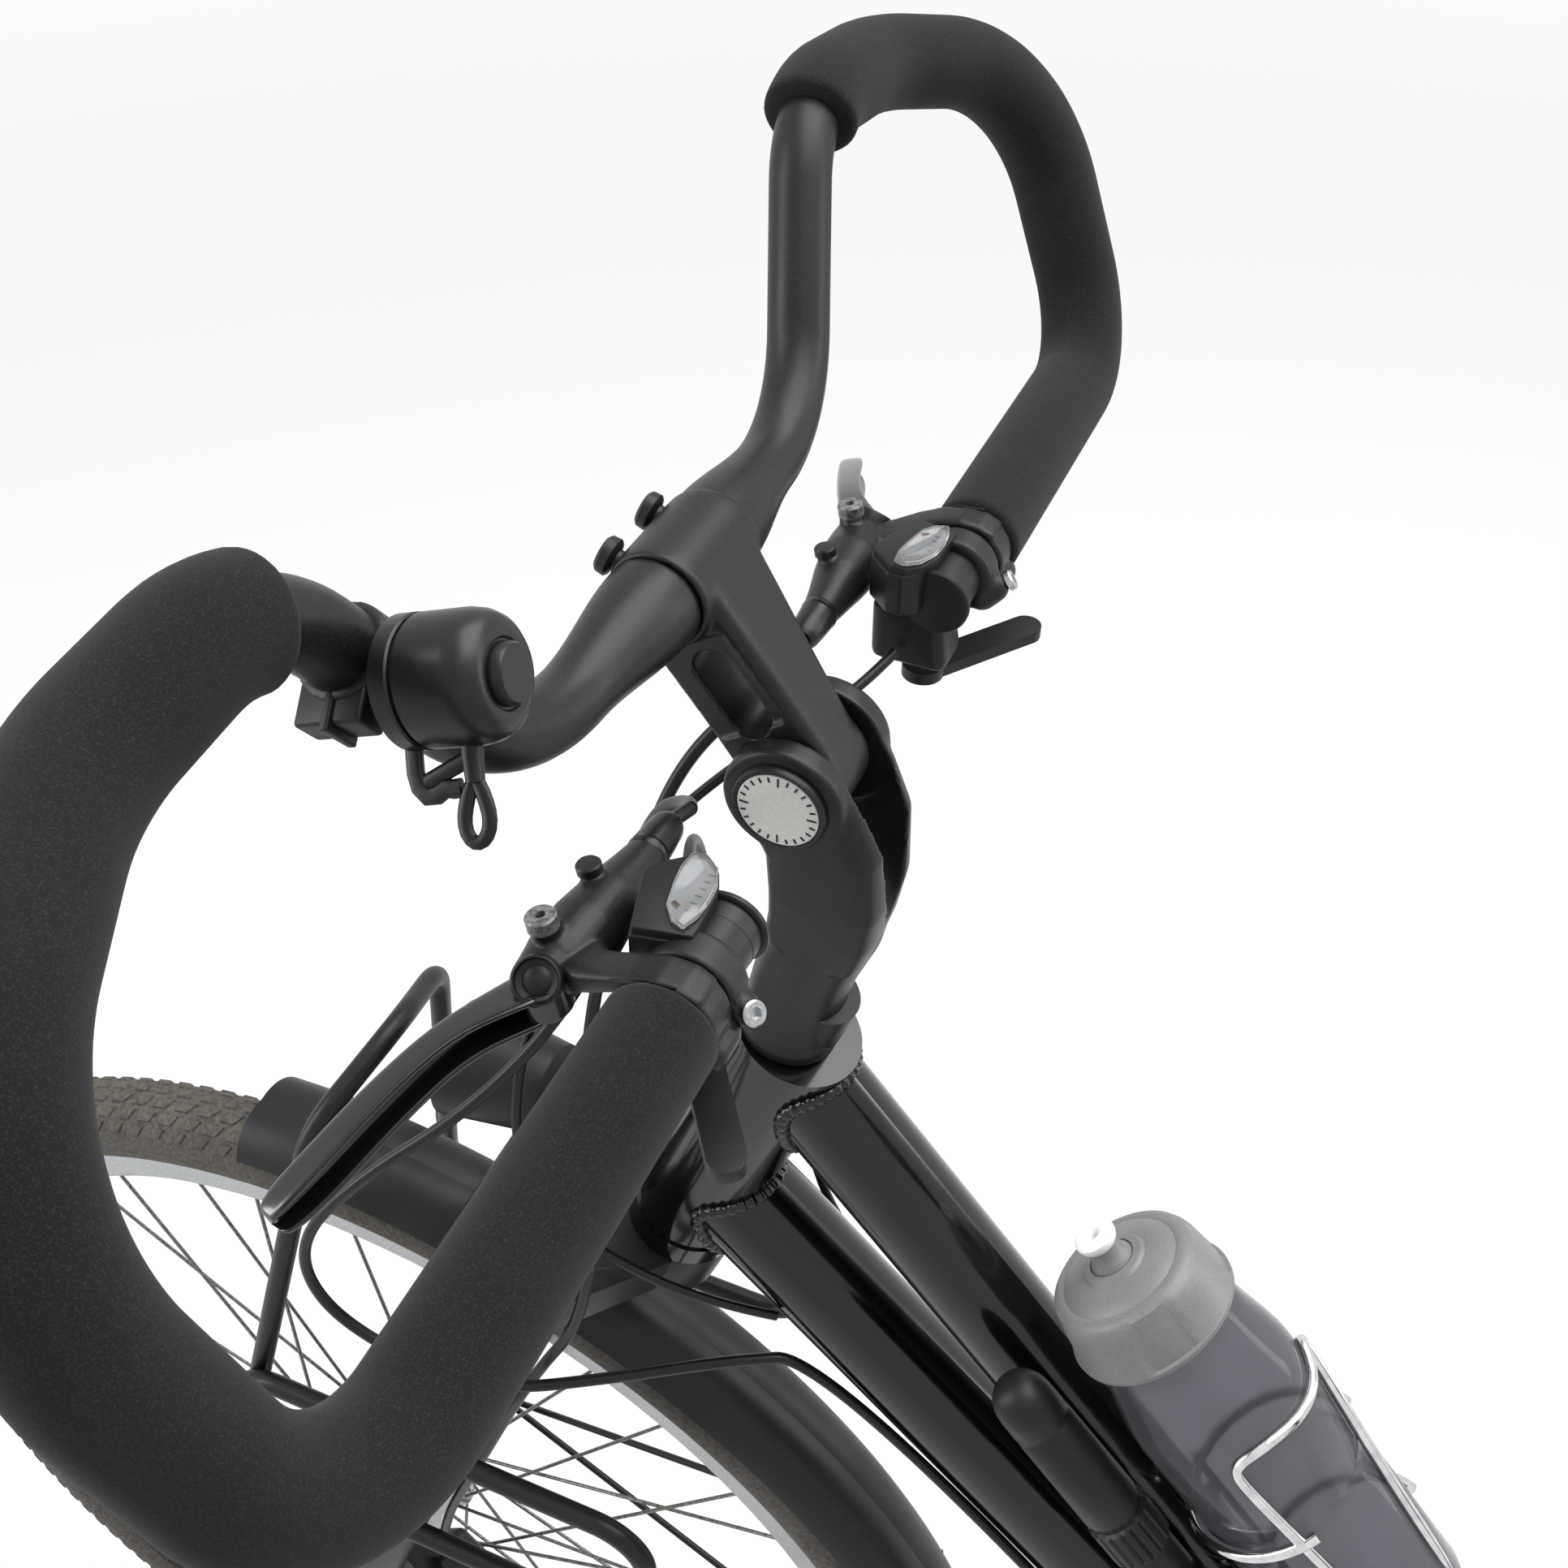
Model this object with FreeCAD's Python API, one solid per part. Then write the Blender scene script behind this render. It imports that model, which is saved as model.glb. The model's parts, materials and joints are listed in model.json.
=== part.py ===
import FreeCAD, Part
import math
import os

# A step-through trekking bicycle with a looped touring handlebar on an
# angle-adjustable stem. Forward is -X, the rider's left is -Y, up is +Z.
# The ground is at z = 0, the wheels stand on it in the plane y = 0, and
# x = 0 lies halfway between the two axles. All lengths are in millimetres.

# Clearances shared by all pieces
gap = 0.3
running_gap = 0.1
overrun = 2.0
full_turn = 360.0
half_share = 0.5

# Wheel layout
wheel_base = 1090.0
tyre_radius = 350.0
tyre_width = 40.0
tyre_wall = 3.5
rim_outer_radius = 316.9
rim_bed_radius = 306.0
rim_shoulder_radius = 300.0
rim_inner_radius = 292.0
rim_width = 24.0
rim_wall = 1.8
rim_keel_width = 12.0
spoke_radius = 1.0
spoke_count = 36
spoke_lead_degrees = 55.0
spoke_rim_offset = 3.0
spoke_flange_gap = 1.2
spoke_seat_share = 0.3
axle_radius = 5.0
axle_nut_radius = 9.0
axle_nut_length = 8.0

# Front hub with dynamo, between the fork ends
front_hub_span = 100.0
front_barrel_radius = 26.0
front_flange_radius = 31.0
front_flange_offset = 23.0
flange_thickness = 3.0
hub_end_radius = 10.0
rotor_radius = 80.0
rotor_inner_radius = 62.0
rotor_hub_radius = 22.0
rotor_thickness = 1.8
rotor_arm_width = 9.0
rotor_arm_count = 6
front_rotor_offset = 37.0

# Rear hub, wider on the sprocket side
rear_hub_span = 135.0
rear_barrel_radius = 15.0
rear_flange_radius = 27.0
rear_left_flange = 33.0
rear_right_flange = 18.0
freewheel_radius = 17.0
freewheel_end = 64.5
rear_rotor_offset = 52.0

# Steering geometry and fork
head_angle = 70.0
fork_rake = 45.0
fork_length = 445.0
steerer_radius = 14.3
leg_spacing = 130.0
stanchion_radius = 14.0
leg_radius = 17.0
leg_top = 330.0
leg_bore_bottom = 120.0
leg_seal_radius = 20.0
leg_seal_height = 14.0
stanchion_bottom = 180.0
crown_height = 28.0
crown_socket_radius = 19.0
crown_centre_radius = 25.0
dropout_radius = 16.0
arch_rod_radius = 7.0
arch_forward = 34.0
arch_top = 384.0
arch_foot = 312.0
arch_foot_forward = 22.0
arch_bend = 30.0

# Head tube and headset
head_tube_length = 135.0
head_tube_radius = 24.0
head_tube_bore = 17.0
lower_cup_height = 12.0
upper_cup_height = 3.0
cup_radius = 25.0

# Main tubes of the frame
bottom_bracket_run = 650.0
bottom_bracket_drop = 65.0
top_tube_radius = 21.0
top_tube_wall = 1.8
top_tube_below_head = 13.5
top_tube_angle = 49.8
top_tube_straight = 420.0
top_tube_lower_angle = 38.0
down_tube_radius = 23.5
down_tube_wall = 1.8
down_tube_below_head = 104.0
down_tube_angle = 44.5
down_tube_straight = 330.0
main_tube_bend = 420.0
seat_angle = 73.0
seat_tube_length = 460.0
seat_tube_radius = 17.0
shell_radius = 21.0
shell_length = 73.0
shell_bore = 17.0
spindle_radius = 12.0
seat_clamp_radius = 21.0
seat_clamp_height = 15.0
seat_clamp_bolt_radius = 3.0
seat_clamp_ear = 13.0

# Rear stays and dropouts
stay_radius = 8.5
stay_root_out = 24.0
stay_root_back = 15.0
stay_waist_back = 62.0
stay_waist_out = 26.0
stay_waist_rise = 5.0
stay_flare_back = 112.0
stay_flare_out = 37.0
stay_flare_rise = 12.0
stay_rear_before = 90.0
stay_rear_out = 62.0
stay_rear_below = 17.0
stay_end_before = 34.0
stay_end_out = 66.0
stay_end_below = 6.0
stay_bend = 60.0
dropout_thickness = 5.0
dropout_plate_radius = 19.0
dropout_arm_radius = 9.0
hanger_back = 10.0
hanger_below = 46.0
hanger_radius = 10.0
seat_stay_top = 425.0
seat_stay_top_out = 14.0
seat_stay_radius = 7.5
seat_stay_shoulder_before = 268.0
seat_stay_shoulder_above = 281.0
seat_stay_shoulder_out = 40.0
seat_stay_low_before = 26.0
seat_stay_low_above = 36.0
seat_stay_low_out = 65.0
seat_stay_bend = 80.0
bridge_radius = 6.0

# Mudguards
guard_radius = 368.0
guard_edge_radius = 352.0
guard_width = 54.0
guard_thickness = 2.2
guard_flank_share = 0.72
front_guard_start_degrees = -25.0
front_guard_end_degrees = 95.0
rear_guard_start_degrees = 24.0
rear_guard_end_degrees = 186.0
guard_stay_radius = 2.0
front_guard_stay_degrees = (-12.0, 24.0)
rear_guard_stay_degrees = (34.0, 66.0)
guard_stay_root_back = 13.0
guard_stay_lift = 3.6
guard_eyelet_radius = 3.5

# Saddle and seat post
seat_post_radius = 13.6
seat_post_wall = 2.0
seat_post_insert = 120.0
seat_post_rise = 190.0
seat_post_travel_up = 60.0
saddle_length = 268.0
saddle_width = 176.0
saddle_nose_width = 46.0
saddle_pad_height = 44.0
saddle_shell_height = 6.0
saddle_above_post = 40.0
saddle_nose_ahead = 150.0
saddle_rail_radius = 3.5
saddle_rail_out = 22.0
saddle_rail_drop = 26.0
saddle_rail_bend = 22.0
saddle_clamp_radius = 19.0
saddle_clamp_height = 32.0
saddle_station_shares = (0.0, 0.14, 0.40, 0.62, 0.82, 1.0)
saddle_width_shares = (0.62, 1.0, 1.3, 2.5, 3.7, 3.2)
saddle_crown_shares = (0.62, 0.86, 0.84, 0.94, 1.0, 0.8)
saddle_drawn_in_share = 0.86
saddle_bulge_share = 0.55
saddle_edge_share = 0.72

# Cranks, chainrings and pedals
chain_line = 45.4
chain_pitch = 12.7
ring_teeth = (26, 36, 48)
ring_spacing = 7.6
ring_thickness = 2.0
ring_inner_radii = (26.0, 45.0, 58.0)
tooth_height = 3.6
tooth_root_drop = 3.2
tooth_root_share = 0.3
tooth_tip_share = 0.1
spider_radius = 60.0
spider_hub_radius = 20.0
spider_arm_radius = 8.0
spider_arms = 5
ring_bolt_circle = 32.0
ring_bolt_radius = 4.0
crank_length = 170.0
crank_hub_radius = 19.0
crank_end_radius = 14.0
crank_thickness = 13.0
crank_inner_offset = 62.0
crank_eye_offset = 76.0
pedal_axle_radius = 7.0
pedal_axle_length = 96.0
pedal_length = 88.0
pedal_depth = 72.0
pedal_height = 20.0
pedal_tube_radius = 11.0
pedal_rim = 11.0
pedal_side_gap = 5.0

# Cassette, chain and derailleurs
cog_teeth = (32, 28, 24, 21, 18, 16, 14, 12, 11)
cog_spacing = 4.34
cog_thickness = 1.8
chain_cog_index = 4
cassette_carrier_radius = 20.5
cassette_lockring_length = 1.6
pulley_teeth = 11
pulley_thickness = 4.0
pulley_bolt_radius = 2.6
guide_pulley_ahead = 4.0
guide_pulley_below = 78.0
tension_pulley_ahead = 28.0
tension_pulley_below = 134.0
chain_plate_height = 7.6
chain_plate_inner = 1.8
chain_plate_outer = 3.1
chain_roller_radius = 2.6
chain_roller_margin = 34.0
cage_plate_thickness = 1.5
cage_plate_radius = 13.0
cage_half_gap = 5.2
derailleur_body_radius = 11.0
derailleur_body_end = 64.0
front_cage_inner_radius = 81.0
front_cage_outer_radius = 108.0
front_cage_start_degrees = 52.0
front_cage_end_degrees = 92.0
front_cage_plate = 1.0
front_cage_half_gap = 4.6
front_band_height = 14.0
front_band_at = 88.0
front_band_wall = 3.5
front_link_radius = 6.0

# Rear brake caliper and front brake caliper
caliper_height = 46.0
caliper_width = 34.0
caliper_inner_depth = 9.0
caliper_outer_depth = 14.5
caliper_slot = 5.0
caliper_radius_at = 74.0
front_caliper_degrees = 40.0
rear_caliper_degrees = 118.0
caliper_plate_radius = 11.0
caliper_plate_low = 50.0
caliper_plate_high = 61.0
caliper_plate_at = 92.0

# Rear rack and lamps
rack_height = 748.0
rack_rod_radius = 5.0
rack_brace_radius = 4.0
rack_half_width = 57.0
rack_front = 330.0
rack_rear = 800.0
rack_bend = 40.0
rack_strut_fore = 500.0
rack_strut_aft = 625.0
rack_foot_out = 80.0
rack_foot_rise = 15.0
rack_cross_places = (410.0, 560.0, 700.0)
tail_lamp_width = 96.0
tail_lamp_height = 34.0
tail_lamp_depth = 22.0
tail_lamp_drop = 24.0
tail_lamp_round = 9.0
headlamp_radius = 26.0
headlamp_length = 46.0
headlamp_back_radius = 20.0
headlamp_ahead = 50.0
headlamp_height = 466.0
headlamp_bracket_radius = 5.0

# Front low rack on the fork legs
low_rack_rod_radius = 5.0
low_rack_out = 92.0
low_rack_top = 640.0
low_rack_bottom = 552.0
low_rack_front_back = 2.0
low_rack_rear_back = 216.0
low_rack_bend = 24.0
low_rack_arch_shoulder_out = 52.0
low_rack_arch_shoulder_back = 44.0
low_rack_arch_shoulder_z = 790.0
low_rack_arch_top_back = 58.0
low_rack_arch_top = 812.0
low_rack_arch_bend = 32.0
low_rack_boss_radius = 8.0

# Bottle, cage and pump beside the top tube
bottle_offset = 68.0
bottle_start = 160.0
bottle_radius = 36.5
bottle_length = 178.0
bottle_neck_radius = 31.0
bottle_shoulder = 12.0
bottle_wall = 1.6
bottle_cap_radius = 39.0
bottle_cap_height = 22.0
bottle_cap_crown = 7.0
bottle_cap_top_radius = 27.0
bottle_neck_height = 13.0
valve_radius = 9.0
valve_height = 15.0
valve_stem_radius = 5.0
valve_stem_height = 8.0
cage_wire_radius = 2.5
cage_reach = 96.0
cage_boss_radius = 5.0
cage_boss_places = (270.0, 328.0)
cage_bend = 5.0
cage_spine_out = 6.0
cage_spine_radius = 2.0
cage_clasp_degrees = 128.0
cage_low_clasp_share = 0.42
cage_arc_shares = (-1.0, -0.5, 0.0, 0.5, 1.0)
pump_side = 38.0
pump_rise = 20.0
pump_start = 148.0
pump_radius = 16.0
pump_length = 236.0
pump_handle_share = 0.34
pump_collar_radius = 17.5
pump_collar_length = 16.0
pump_groove = 2.0
pump_bracket_length = 22.0
pump_bracket_wall = 2.5
pump_bracket_at = 272.0

# Kickstand on the left chain stay
stand_before_axle = 112.0
stand_bracket_length = 40.0
stand_bracket_height = 22.0
stand_bracket_in = 48.0
stand_bracket_out = 84.0
stand_pivot_drop = 21.0
stand_pin_radius = 5.0
stand_hub_radius = 12.0
stand_hub_length = 14.0
stand_leg_radius = 8.0
stand_foot_ahead = 28.0
stand_foot_out = 196.0
stand_foot_height = 19.0
stand_foot_radius = 15.0
stand_foot_thickness = 12.0

# Stem with its adjustable joint
collar_height = 26.0
collar_radius = 24.0
collar_neck_radius = 20.5
stem_pivot_ahead = 44.6
stem_pivot_rise = 122.0
stem_cheek_radius = 21.5
stem_cheek_thickness = 9.0
stem_fork_gap = 28.0
stem_spine_rises = (41.6, 61.4, 83.7, 103.7, 113.9)
stem_spine_aheads = (5.4, 9.4, 15.4, 24.8, 34.9)
stem_spine_radii = (20.5, 17.0, 16.5, 18.5, 20.0)
stem_dial_radius = 15.5
stem_dial_height = 1.6
stem_pivot_bolt_radius = 5.0
stem_arm_reach = 43.2
stem_arm_rise = 65.5
stem_arm_tip_radius = 17.7
stem_clamp_radius = 17.0
stem_clamp_width = 42.0
stem_arm_width = 38.0
stem_tongue_width = 27.2
stem_slot_radius = 7.5
stem_slot_shares = (0.36, 0.62)
stem_bolt_radius = 4.0
stem_bolt_out = 13.0
stem_bolt_length = 9.0

# Handlebar: a closed touring loop on each side, from the clamp outwards
bar_radius = 11.1
bar_centre_radius = 12.7
bar_centre_half = 44.0
bar_taper_end = 58.0
bar_wall = 2.0
bar_inner_out = 101.0
bar_inner_ahead = 4.6
bar_inner_drop = 3.4
bar_front_out = 162.0
bar_front_ahead = 30.7
bar_front_rise = 85.6
bar_crest_out = 229.0
bar_crest_ahead = 29.8
bar_crest_rise = 79.3
bar_side_out = 312.0
bar_side_back = 7.1
bar_side_rise = 58.1
bar_rear_out = 296.0
bar_rear_back = 55.0
bar_rear_drop = 54.0
bar_end_out = 84.0
bar_inner_bend = 60.0
bar_front_bend = 44.0
bar_crest_bend = 90.0
bar_side_bend = 66.0
bar_rear_bend = 45.0
foam_radius = 16.9
foam_end_out = 131.0
bar_plug_length = 5.0
bar_plug_radius = 12.4

# Brake levers, shifters and bell
brake_band_start = 116.0
brake_band_length = 12.0
brake_band_radius = 16.0
brake_eye_radius = 11.0
lever_pivot_out = 136.0
lever_pivot_ahead = 40.0
lever_pin_radius = 3.0
lever_hub_radius = 9.0
lever_thickness = 11.0
lever_ear_thickness = 4.0
lever_ear_radius = 10.0
lever_blade_width = 9.0
lever_elbow_ahead = 58.0
lever_elbow_out = 152.0
lever_mid_ahead = 71.0
lever_mid_out = 181.0
lever_tip_ahead = 82.3
lever_tip_out = 209.0
master_radius = 9.0
master_outer = 121.0
master_inner = 65.0
master_inner_ahead = 38.8
master_rise = 2.0
master_inner_drop = 3.0
brake_tilt_degrees = 10.0
lever_mid_drop = 8.0
lever_tip_drop = 17.3
lever_blade_radius = 5.5
lever_blade_bend = 24.0
boot_radius = 7.0
boot_length = 20.0
shifter_band_start = 98.0
shifter_band_length = 13.0
shifter_band_radius = 15.5
shifter_inner = 86.0
shifter_outer = 112.0
shifter_ahead = 28.0
shifter_back = 12.0
shifter_top = 15.0
shifter_bottom = 36.0
shifter_round = 5.0
display_ahead = 24.0
display_back = 8.0
display_low = 13.5
display_high = 26.0
display_round = 6.0
thumb_pivot_out = 100.0
thumb_pivot_ahead = 6.0
thumb_pin_radius = 3.0
thumb_hub_radius = 8.0
thumb_thickness = 5.0
thumb_tip_out = 139.0
thumb_tip_back = 22.0
thumb_tip_radius = 6.0
bell_out = 140.0
bell_band_radius = 15.0
bell_band_length = 12.0
bell_tilt_share = 0.28
bell_side_share = -0.19
bell_radius = 19.5
bell_start = 15.5
bell_height = 34.0
bell_cap_radius = 12.0
bell_cap_height = 3.0
bell_wall = 2.0
bell_stub_radius = 7.0
striker_arm_radius = 2.0
striker_hub_radius = 5.0
striker_reach = 14.0
striker_pad_radius = 6.0
striker_pad_hole = 3.5
striker_thickness = 5.0

# Hoses and cables
hose_radius = 2.5
cable_radius = 2.0
cord_bend_share = 0.45
cord_low_share = 0.42
cord_side_share = 0.908
rear_hose_places = (92.0, 330.0, 545.0)
gear_cable_places = (86.0, 330.0, 560.0)
shift_cable_end = 66.0
front_hose_route = (
    (-322.3, -42, 1030), (-326, -33, 1025), (-346, -20, 1004), (-362, -16, 958), (-371, -30, 908),
    (-368, -50, 850), (-360, -63, 800), (-366, -69, 752), (-388, -69, 706), (-410, -67, 650),
    (-432, -65, 590), (-466, -62, 500), (-480, -50, 434),
)
rear_hose_route = (
    (-322.3, 42, 1030), (-326, 33, 1026), (-352, 12, 1000), (-364, -6, 950), (-380, -34, 900),
    (-412, -60, 856), (-454, -82, 818), (-482, -93, 776), (-478, -94, 736), (-444, -91, 712),
    (-400, -85, 705), (-356, -64, 712), (-308, -40, 722),
)
rear_hose_stay_route = (
    (70, -36, 332), (112, -43, 317), (165, -42, 307), (217, -45, 307), (436, -67, 340), (464, -66, 372),
    (481, -60, 402),
)
gear_cable_route = (
    (-300, -84.9, 1012), (-308, -62, 1008), (-328, -34, 992), (-342, -2, 978), (-352, 26, 946),
    (-354, 40, 900), (-340, 46, 850), (-318, 42, 796),
)
gear_cable_end_route = ((60, 31, 349), (97, 31, 345), (120, 20.5, 371))
shift_cable_route = (
    (-300, 84.9, 1012), (-308, 62, 1004), (-336, 34, 990), (-366, 4, 960), (-392, -30, 908),
    (-399, -50, 854), (-392, -54, 808), (-366, -48, 776), (-326, -38, 752),
)

# Derived places
front_axle_x = -wheel_base / 2
rear_axle_x = wheel_base / 2
bracket_x = front_axle_x + bottom_bracket_run
bracket_z = tyre_radius - bottom_bracket_drop


def vec(x, y, z):
    return FreeCAD.Vector(x, y, z)


across = vec(0, 1, 0)
front_axle = vec(front_axle_x, 0, tyre_radius)
rear_axle = vec(rear_axle_x, 0, tyre_radius)
bracket = vec(bracket_x, 0, bracket_z)
steer_up = vec(math.cos(math.radians(head_angle)), 0, math.sin(math.radians(head_angle)))
steer_ahead = vec(-steer_up.z, 0, steer_up.x)
seat_up = vec(math.cos(math.radians(seat_angle)), 0, math.sin(math.radians(seat_angle)))
steer_base = front_axle - steer_ahead * fork_rake
head_bottom = fork_length + lower_cup_height
head_top = head_bottom + head_tube_length
collar_bottom = head_top + upper_cup_height + gap


def on_steer(height, ahead=0.0, side=0.0):
    return steer_base + steer_up * height + steer_ahead * ahead + across * side


def on_seat(height, side=0.0):
    return bracket + seat_up * height + across * side


stem_pivot = on_steer(collar_bottom + stem_pivot_rise, stem_pivot_ahead)
clamp = stem_pivot + vec(-stem_arm_reach, 0, stem_arm_rise)


# Small builders


def rod(start, end, radius):
    run = end - start
    return Part.makeCylinder(radius, run.Length, start, run)


def hollow_rod(start, end, radius, bore):
    return rod(start, end, radius).cut(rod(start, end, bore))


def cone(start, end, start_radius, end_radius):
    run = end - start
    return Part.makeCone(start_radius, end_radius, run.Length, start, run)


def unit(vector):
    return vector * (1 / vector.Length)


def rounded_edges(points, bends):
    edges = []
    start = points[0]
    for before, corner, after, bend in zip(points, points[1:], points[2:], bends):
        back = unit(before - corner)
        ahead = unit(after - corner)
        half_angle = back.getAngle(ahead) / 2
        inset = bend / math.tan(half_angle)
        entry = corner + back * inset
        leave = corner + ahead * inset
        inward = unit(back + ahead)
        middle = corner + inward * (bend / math.sin(half_angle) - bend)
        centre = corner + inward * (bend / math.sin(half_angle))
        first = centre + unit(unit(entry - centre) + unit(middle - centre)) * bend
        last = centre + unit(unit(leave - centre) + unit(middle - centre)) * bend
        edges.append(Part.LineSegment(start, entry).toShape())
        edges.append(Part.Arc(entry, first, middle).toShape())
        edges.append(Part.Arc(middle, last, leave).toShape())
        start = leave
    edges.append(Part.LineSegment(start, points[-1]).toShape())
    return edges


def sweep(edges, radius):
    first = edges[0]
    start = first.valueAt(first.FirstParameter)
    heading = first.tangentAt(first.FirstParameter)
    profile = Part.Wire([Part.makeCircle(radius, start, heading)])
    solid = Part.Wire(edges).makePipeShell([profile], True, False)
    return solid if solid.Volume > 0 else solid.reversed()


def bent_rod(points, bend, radius):
    return sweep(rounded_edges(points, [bend] * (len(points) - 2)), radius)


def mirrored(shape):
    return shape.mirror(vec(0, 0, 0), across)


def both_sides(shape):
    return [shape, mirrored(shape)]


def fused(shapes):
    whole = shapes[0].fuse(shapes[1:]) if len(shapes) > 1 else shapes[0]
    return whole.removeSplitter()


def group(shapes):
    solids = [solid for shape in shapes for solid in shape.Solids]
    return Part.makeCompound(solids)


def revolve(centre, corners, start_degrees=0.0, sweep_degrees=full_turn):
    points = [centre + vec(radius, side, 0) for radius, side in corners]
    face = Part.Face(Part.makePolygon(points + points[:1]))
    solid = face.revolve(centre, across, sweep_degrees)
    return solid.rotated(centre, across, start_degrees)


def ring(centre, radius, bore, low, high):
    return revolve(centre, [(bore, low), (radius, low), (radius, high), (bore, high)])


def disc(centre, radius, low, high):
    return rod(centre + across * low, centre + across * high, radius)


def polar(centre, radius, degrees, side=0.0):
    angle = math.radians(degrees)
    return centre + vec(radius * math.cos(angle), side, radius * math.sin(angle))


def link(start, start_radius, end, end_radius, low, high):
    # A bar between two round eyes whose axes run across the bicycle.
    start = vec(start.x, low, start.z)
    end = vec(end.x, low, end.z)
    run = end - start
    along = unit(run)
    side = vec(-along.z, 0, along.x)
    lean = (start_radius - end_radius) / run.Length
    spread = math.sqrt(1 - lean * lean)
    upper = along * lean + side * spread
    lower = along * lean - side * spread
    edges = [
        Part.LineSegment(start + upper * start_radius, end + upper * end_radius).toShape(),
        Part.Arc(end + upper * end_radius, end + along * end_radius, end + lower * end_radius).toShape(),
        Part.LineSegment(end + lower * end_radius, start + lower * start_radius).toShape(),
        Part.Arc(
            start + lower * start_radius, start - along * start_radius, start + upper * start_radius
        ).toShape(),
    ]
    return Part.Face(Part.Wire(edges)).extrude(across * (high - low))


def block(low, high):
    size = high - low
    return Part.makeBox(size.x, size.y, size.z, low)


def rounded_block(low, high, radius):
    solid = block(low, high)
    return solid.makeFillet(radius, solid.Edges)


def plan_bar(points, width, low, high):
    # A flat bar that follows the points seen from above, with round ends.
    pieces = []
    for start, end in zip(points, points[1:]):
        run = unit(vec(end.x - start.x, end.y - start.y, 0))
        side = vec(-run.y, run.x, 0) * (width / 2)
        base = vec(start.x, start.y, low)
        tip = vec(end.x, end.y, low)
        face = Part.Face(Part.makePolygon([base + side, tip + side, tip - side, base - side, base + side]))
        pieces.append(face.extrude(vec(0, 0, high - low)))
    for point in points:
        pieces.append(Part.makeCylinder(width / 2, high - low, vec(point.x, point.y, low)))
    return fused(pieces)


# Wheels


def tyre(axle):
    section_radius = tyre_width / 2
    crown = tyre_radius - section_radius
    drop = crown - rim_outer_radius - running_gap
    inner_radius = section_radius - tyre_wall
    outer_foot = math.sqrt(section_radius ** 2 - drop ** 2)
    inner_foot = math.sqrt(inner_radius ** 2 - drop ** 2)

    def place(height, side):
        return axle + vec(crown + height, side, 0)

    edges = []
    for radius, foot, sign in ((section_radius, outer_foot, 1), (inner_radius, inner_foot, -1)):
        left = place(-drop, -foot * sign)
        top = place(radius, 0)
        right = place(-drop, foot * sign)
        flank = radius * math.sqrt(half_share)
        edges.append(Part.Arc(left, place(flank, -flank * sign), top).toShape())
        edges.append(Part.Arc(top, place(flank, flank * sign), right).toShape())
    edges.insert(2, Part.LineSegment(place(-drop, outer_foot), place(-drop, inner_foot)).toShape())
    edges.append(Part.LineSegment(place(-drop, -inner_foot), place(-drop, -outer_foot)).toShape())
    return Part.Face(Part.Wire(edges)).revolve(axle, across, full_turn)


def rim(axle):
    half = rim_width / 2
    inside = half - rim_wall
    keel = rim_keel_width / 2
    left = [
        (rim_inner_radius, -keel),
        (rim_shoulder_radius, -half),
        (rim_outer_radius, -half),
        (rim_outer_radius, -inside),
        (rim_bed_radius, -inside),
    ]
    right = [(radius, -side) for radius, side in reversed(left)]
    return revolve(axle, left + right)


def spokes(axle, left_flange, right_flange, flange_radius):
    spoke_circle = flange_radius - flange_thickness
    rods = []
    for index in range(spoke_count):
        side = 1 if index % 2 else -1
        outside = 1 if index // 2 % 2 else -1
        flange = right_flange if side > 0 else left_flange
        lift = (flange_thickness / 2 + spoke_radius + spoke_flange_gap) * outside
        rim_angle = full_turn / spoke_count * index
        hub_angle = rim_angle + spoke_lead_degrees * outside
        hub_point = polar(axle, spoke_circle, hub_angle, side * (flange + lift))
        rim_point = polar(axle, rim_inner_radius, rim_angle, side * spoke_rim_offset)
        inward = unit(hub_point - rim_point)
        rods.append(rod(hub_point, rim_point + inward * (spoke_radius * spoke_seat_share), spoke_radius))
    return group(rods)


def hub(axle, barrel_radius, flange_radius, left_flange, right_flange, left_end, right_end):
    half_flange = flange_thickness / 2
    bore = axle_radius + running_gap
    corners = [
        (bore, -left_end),
        (hub_end_radius, -left_end),
        (hub_end_radius, -left_flange - half_flange),
        (flange_radius, -left_flange - half_flange),
        (flange_radius, -left_flange + half_flange),
        (barrel_radius, -left_flange + half_flange),
        (barrel_radius, right_flange - half_flange),
        (flange_radius, right_flange - half_flange),
        (flange_radius, right_flange + half_flange),
        (hub_end_radius, right_flange + half_flange),
        (hub_end_radius, right_end),
        (bore, right_end),
    ]
    return revolve(axle, corners)


def front_hub():
    end = front_hub_span / 2 - gap
    return hub(
        front_axle, front_barrel_radius, front_flange_radius,
        front_flange_offset, front_flange_offset, end, end,
    )


def rear_hub():
    end = rear_hub_span / 2 - gap
    body = hub(
        rear_axle, rear_barrel_radius, rear_flange_radius,
        rear_left_flange, rear_right_flange, end, end,
    )
    start = rear_right_flange + flange_thickness / 2
    freewheel = ring(rear_axle, freewheel_radius, hub_end_radius, start, freewheel_end)
    return fused([body, freewheel])


def rotor(axle, offset):
    low = -offset - rotor_thickness / 2
    high = -offset + rotor_thickness / 2
    pieces = [
        ring(axle, rotor_radius, rotor_inner_radius, low, high),
        ring(axle, rotor_hub_radius, hub_end_radius + running_gap, low, high),
    ]
    middle = (rotor_inner_radius + rotor_hub_radius) / 2
    for index in range(rotor_arm_count):
        start = -middle + rotor_hub_radius - overrun
        end = middle - rotor_hub_radius + overrun
        arm = block(
            axle + vec(middle + start, low, -rotor_arm_width / 2),
            axle + vec(middle + end, high, rotor_arm_width / 2),
        )
        pieces.append(arm.rotated(axle, across, full_turn / rotor_arm_count * index))
    return fused(pieces)


# Main frame


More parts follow.
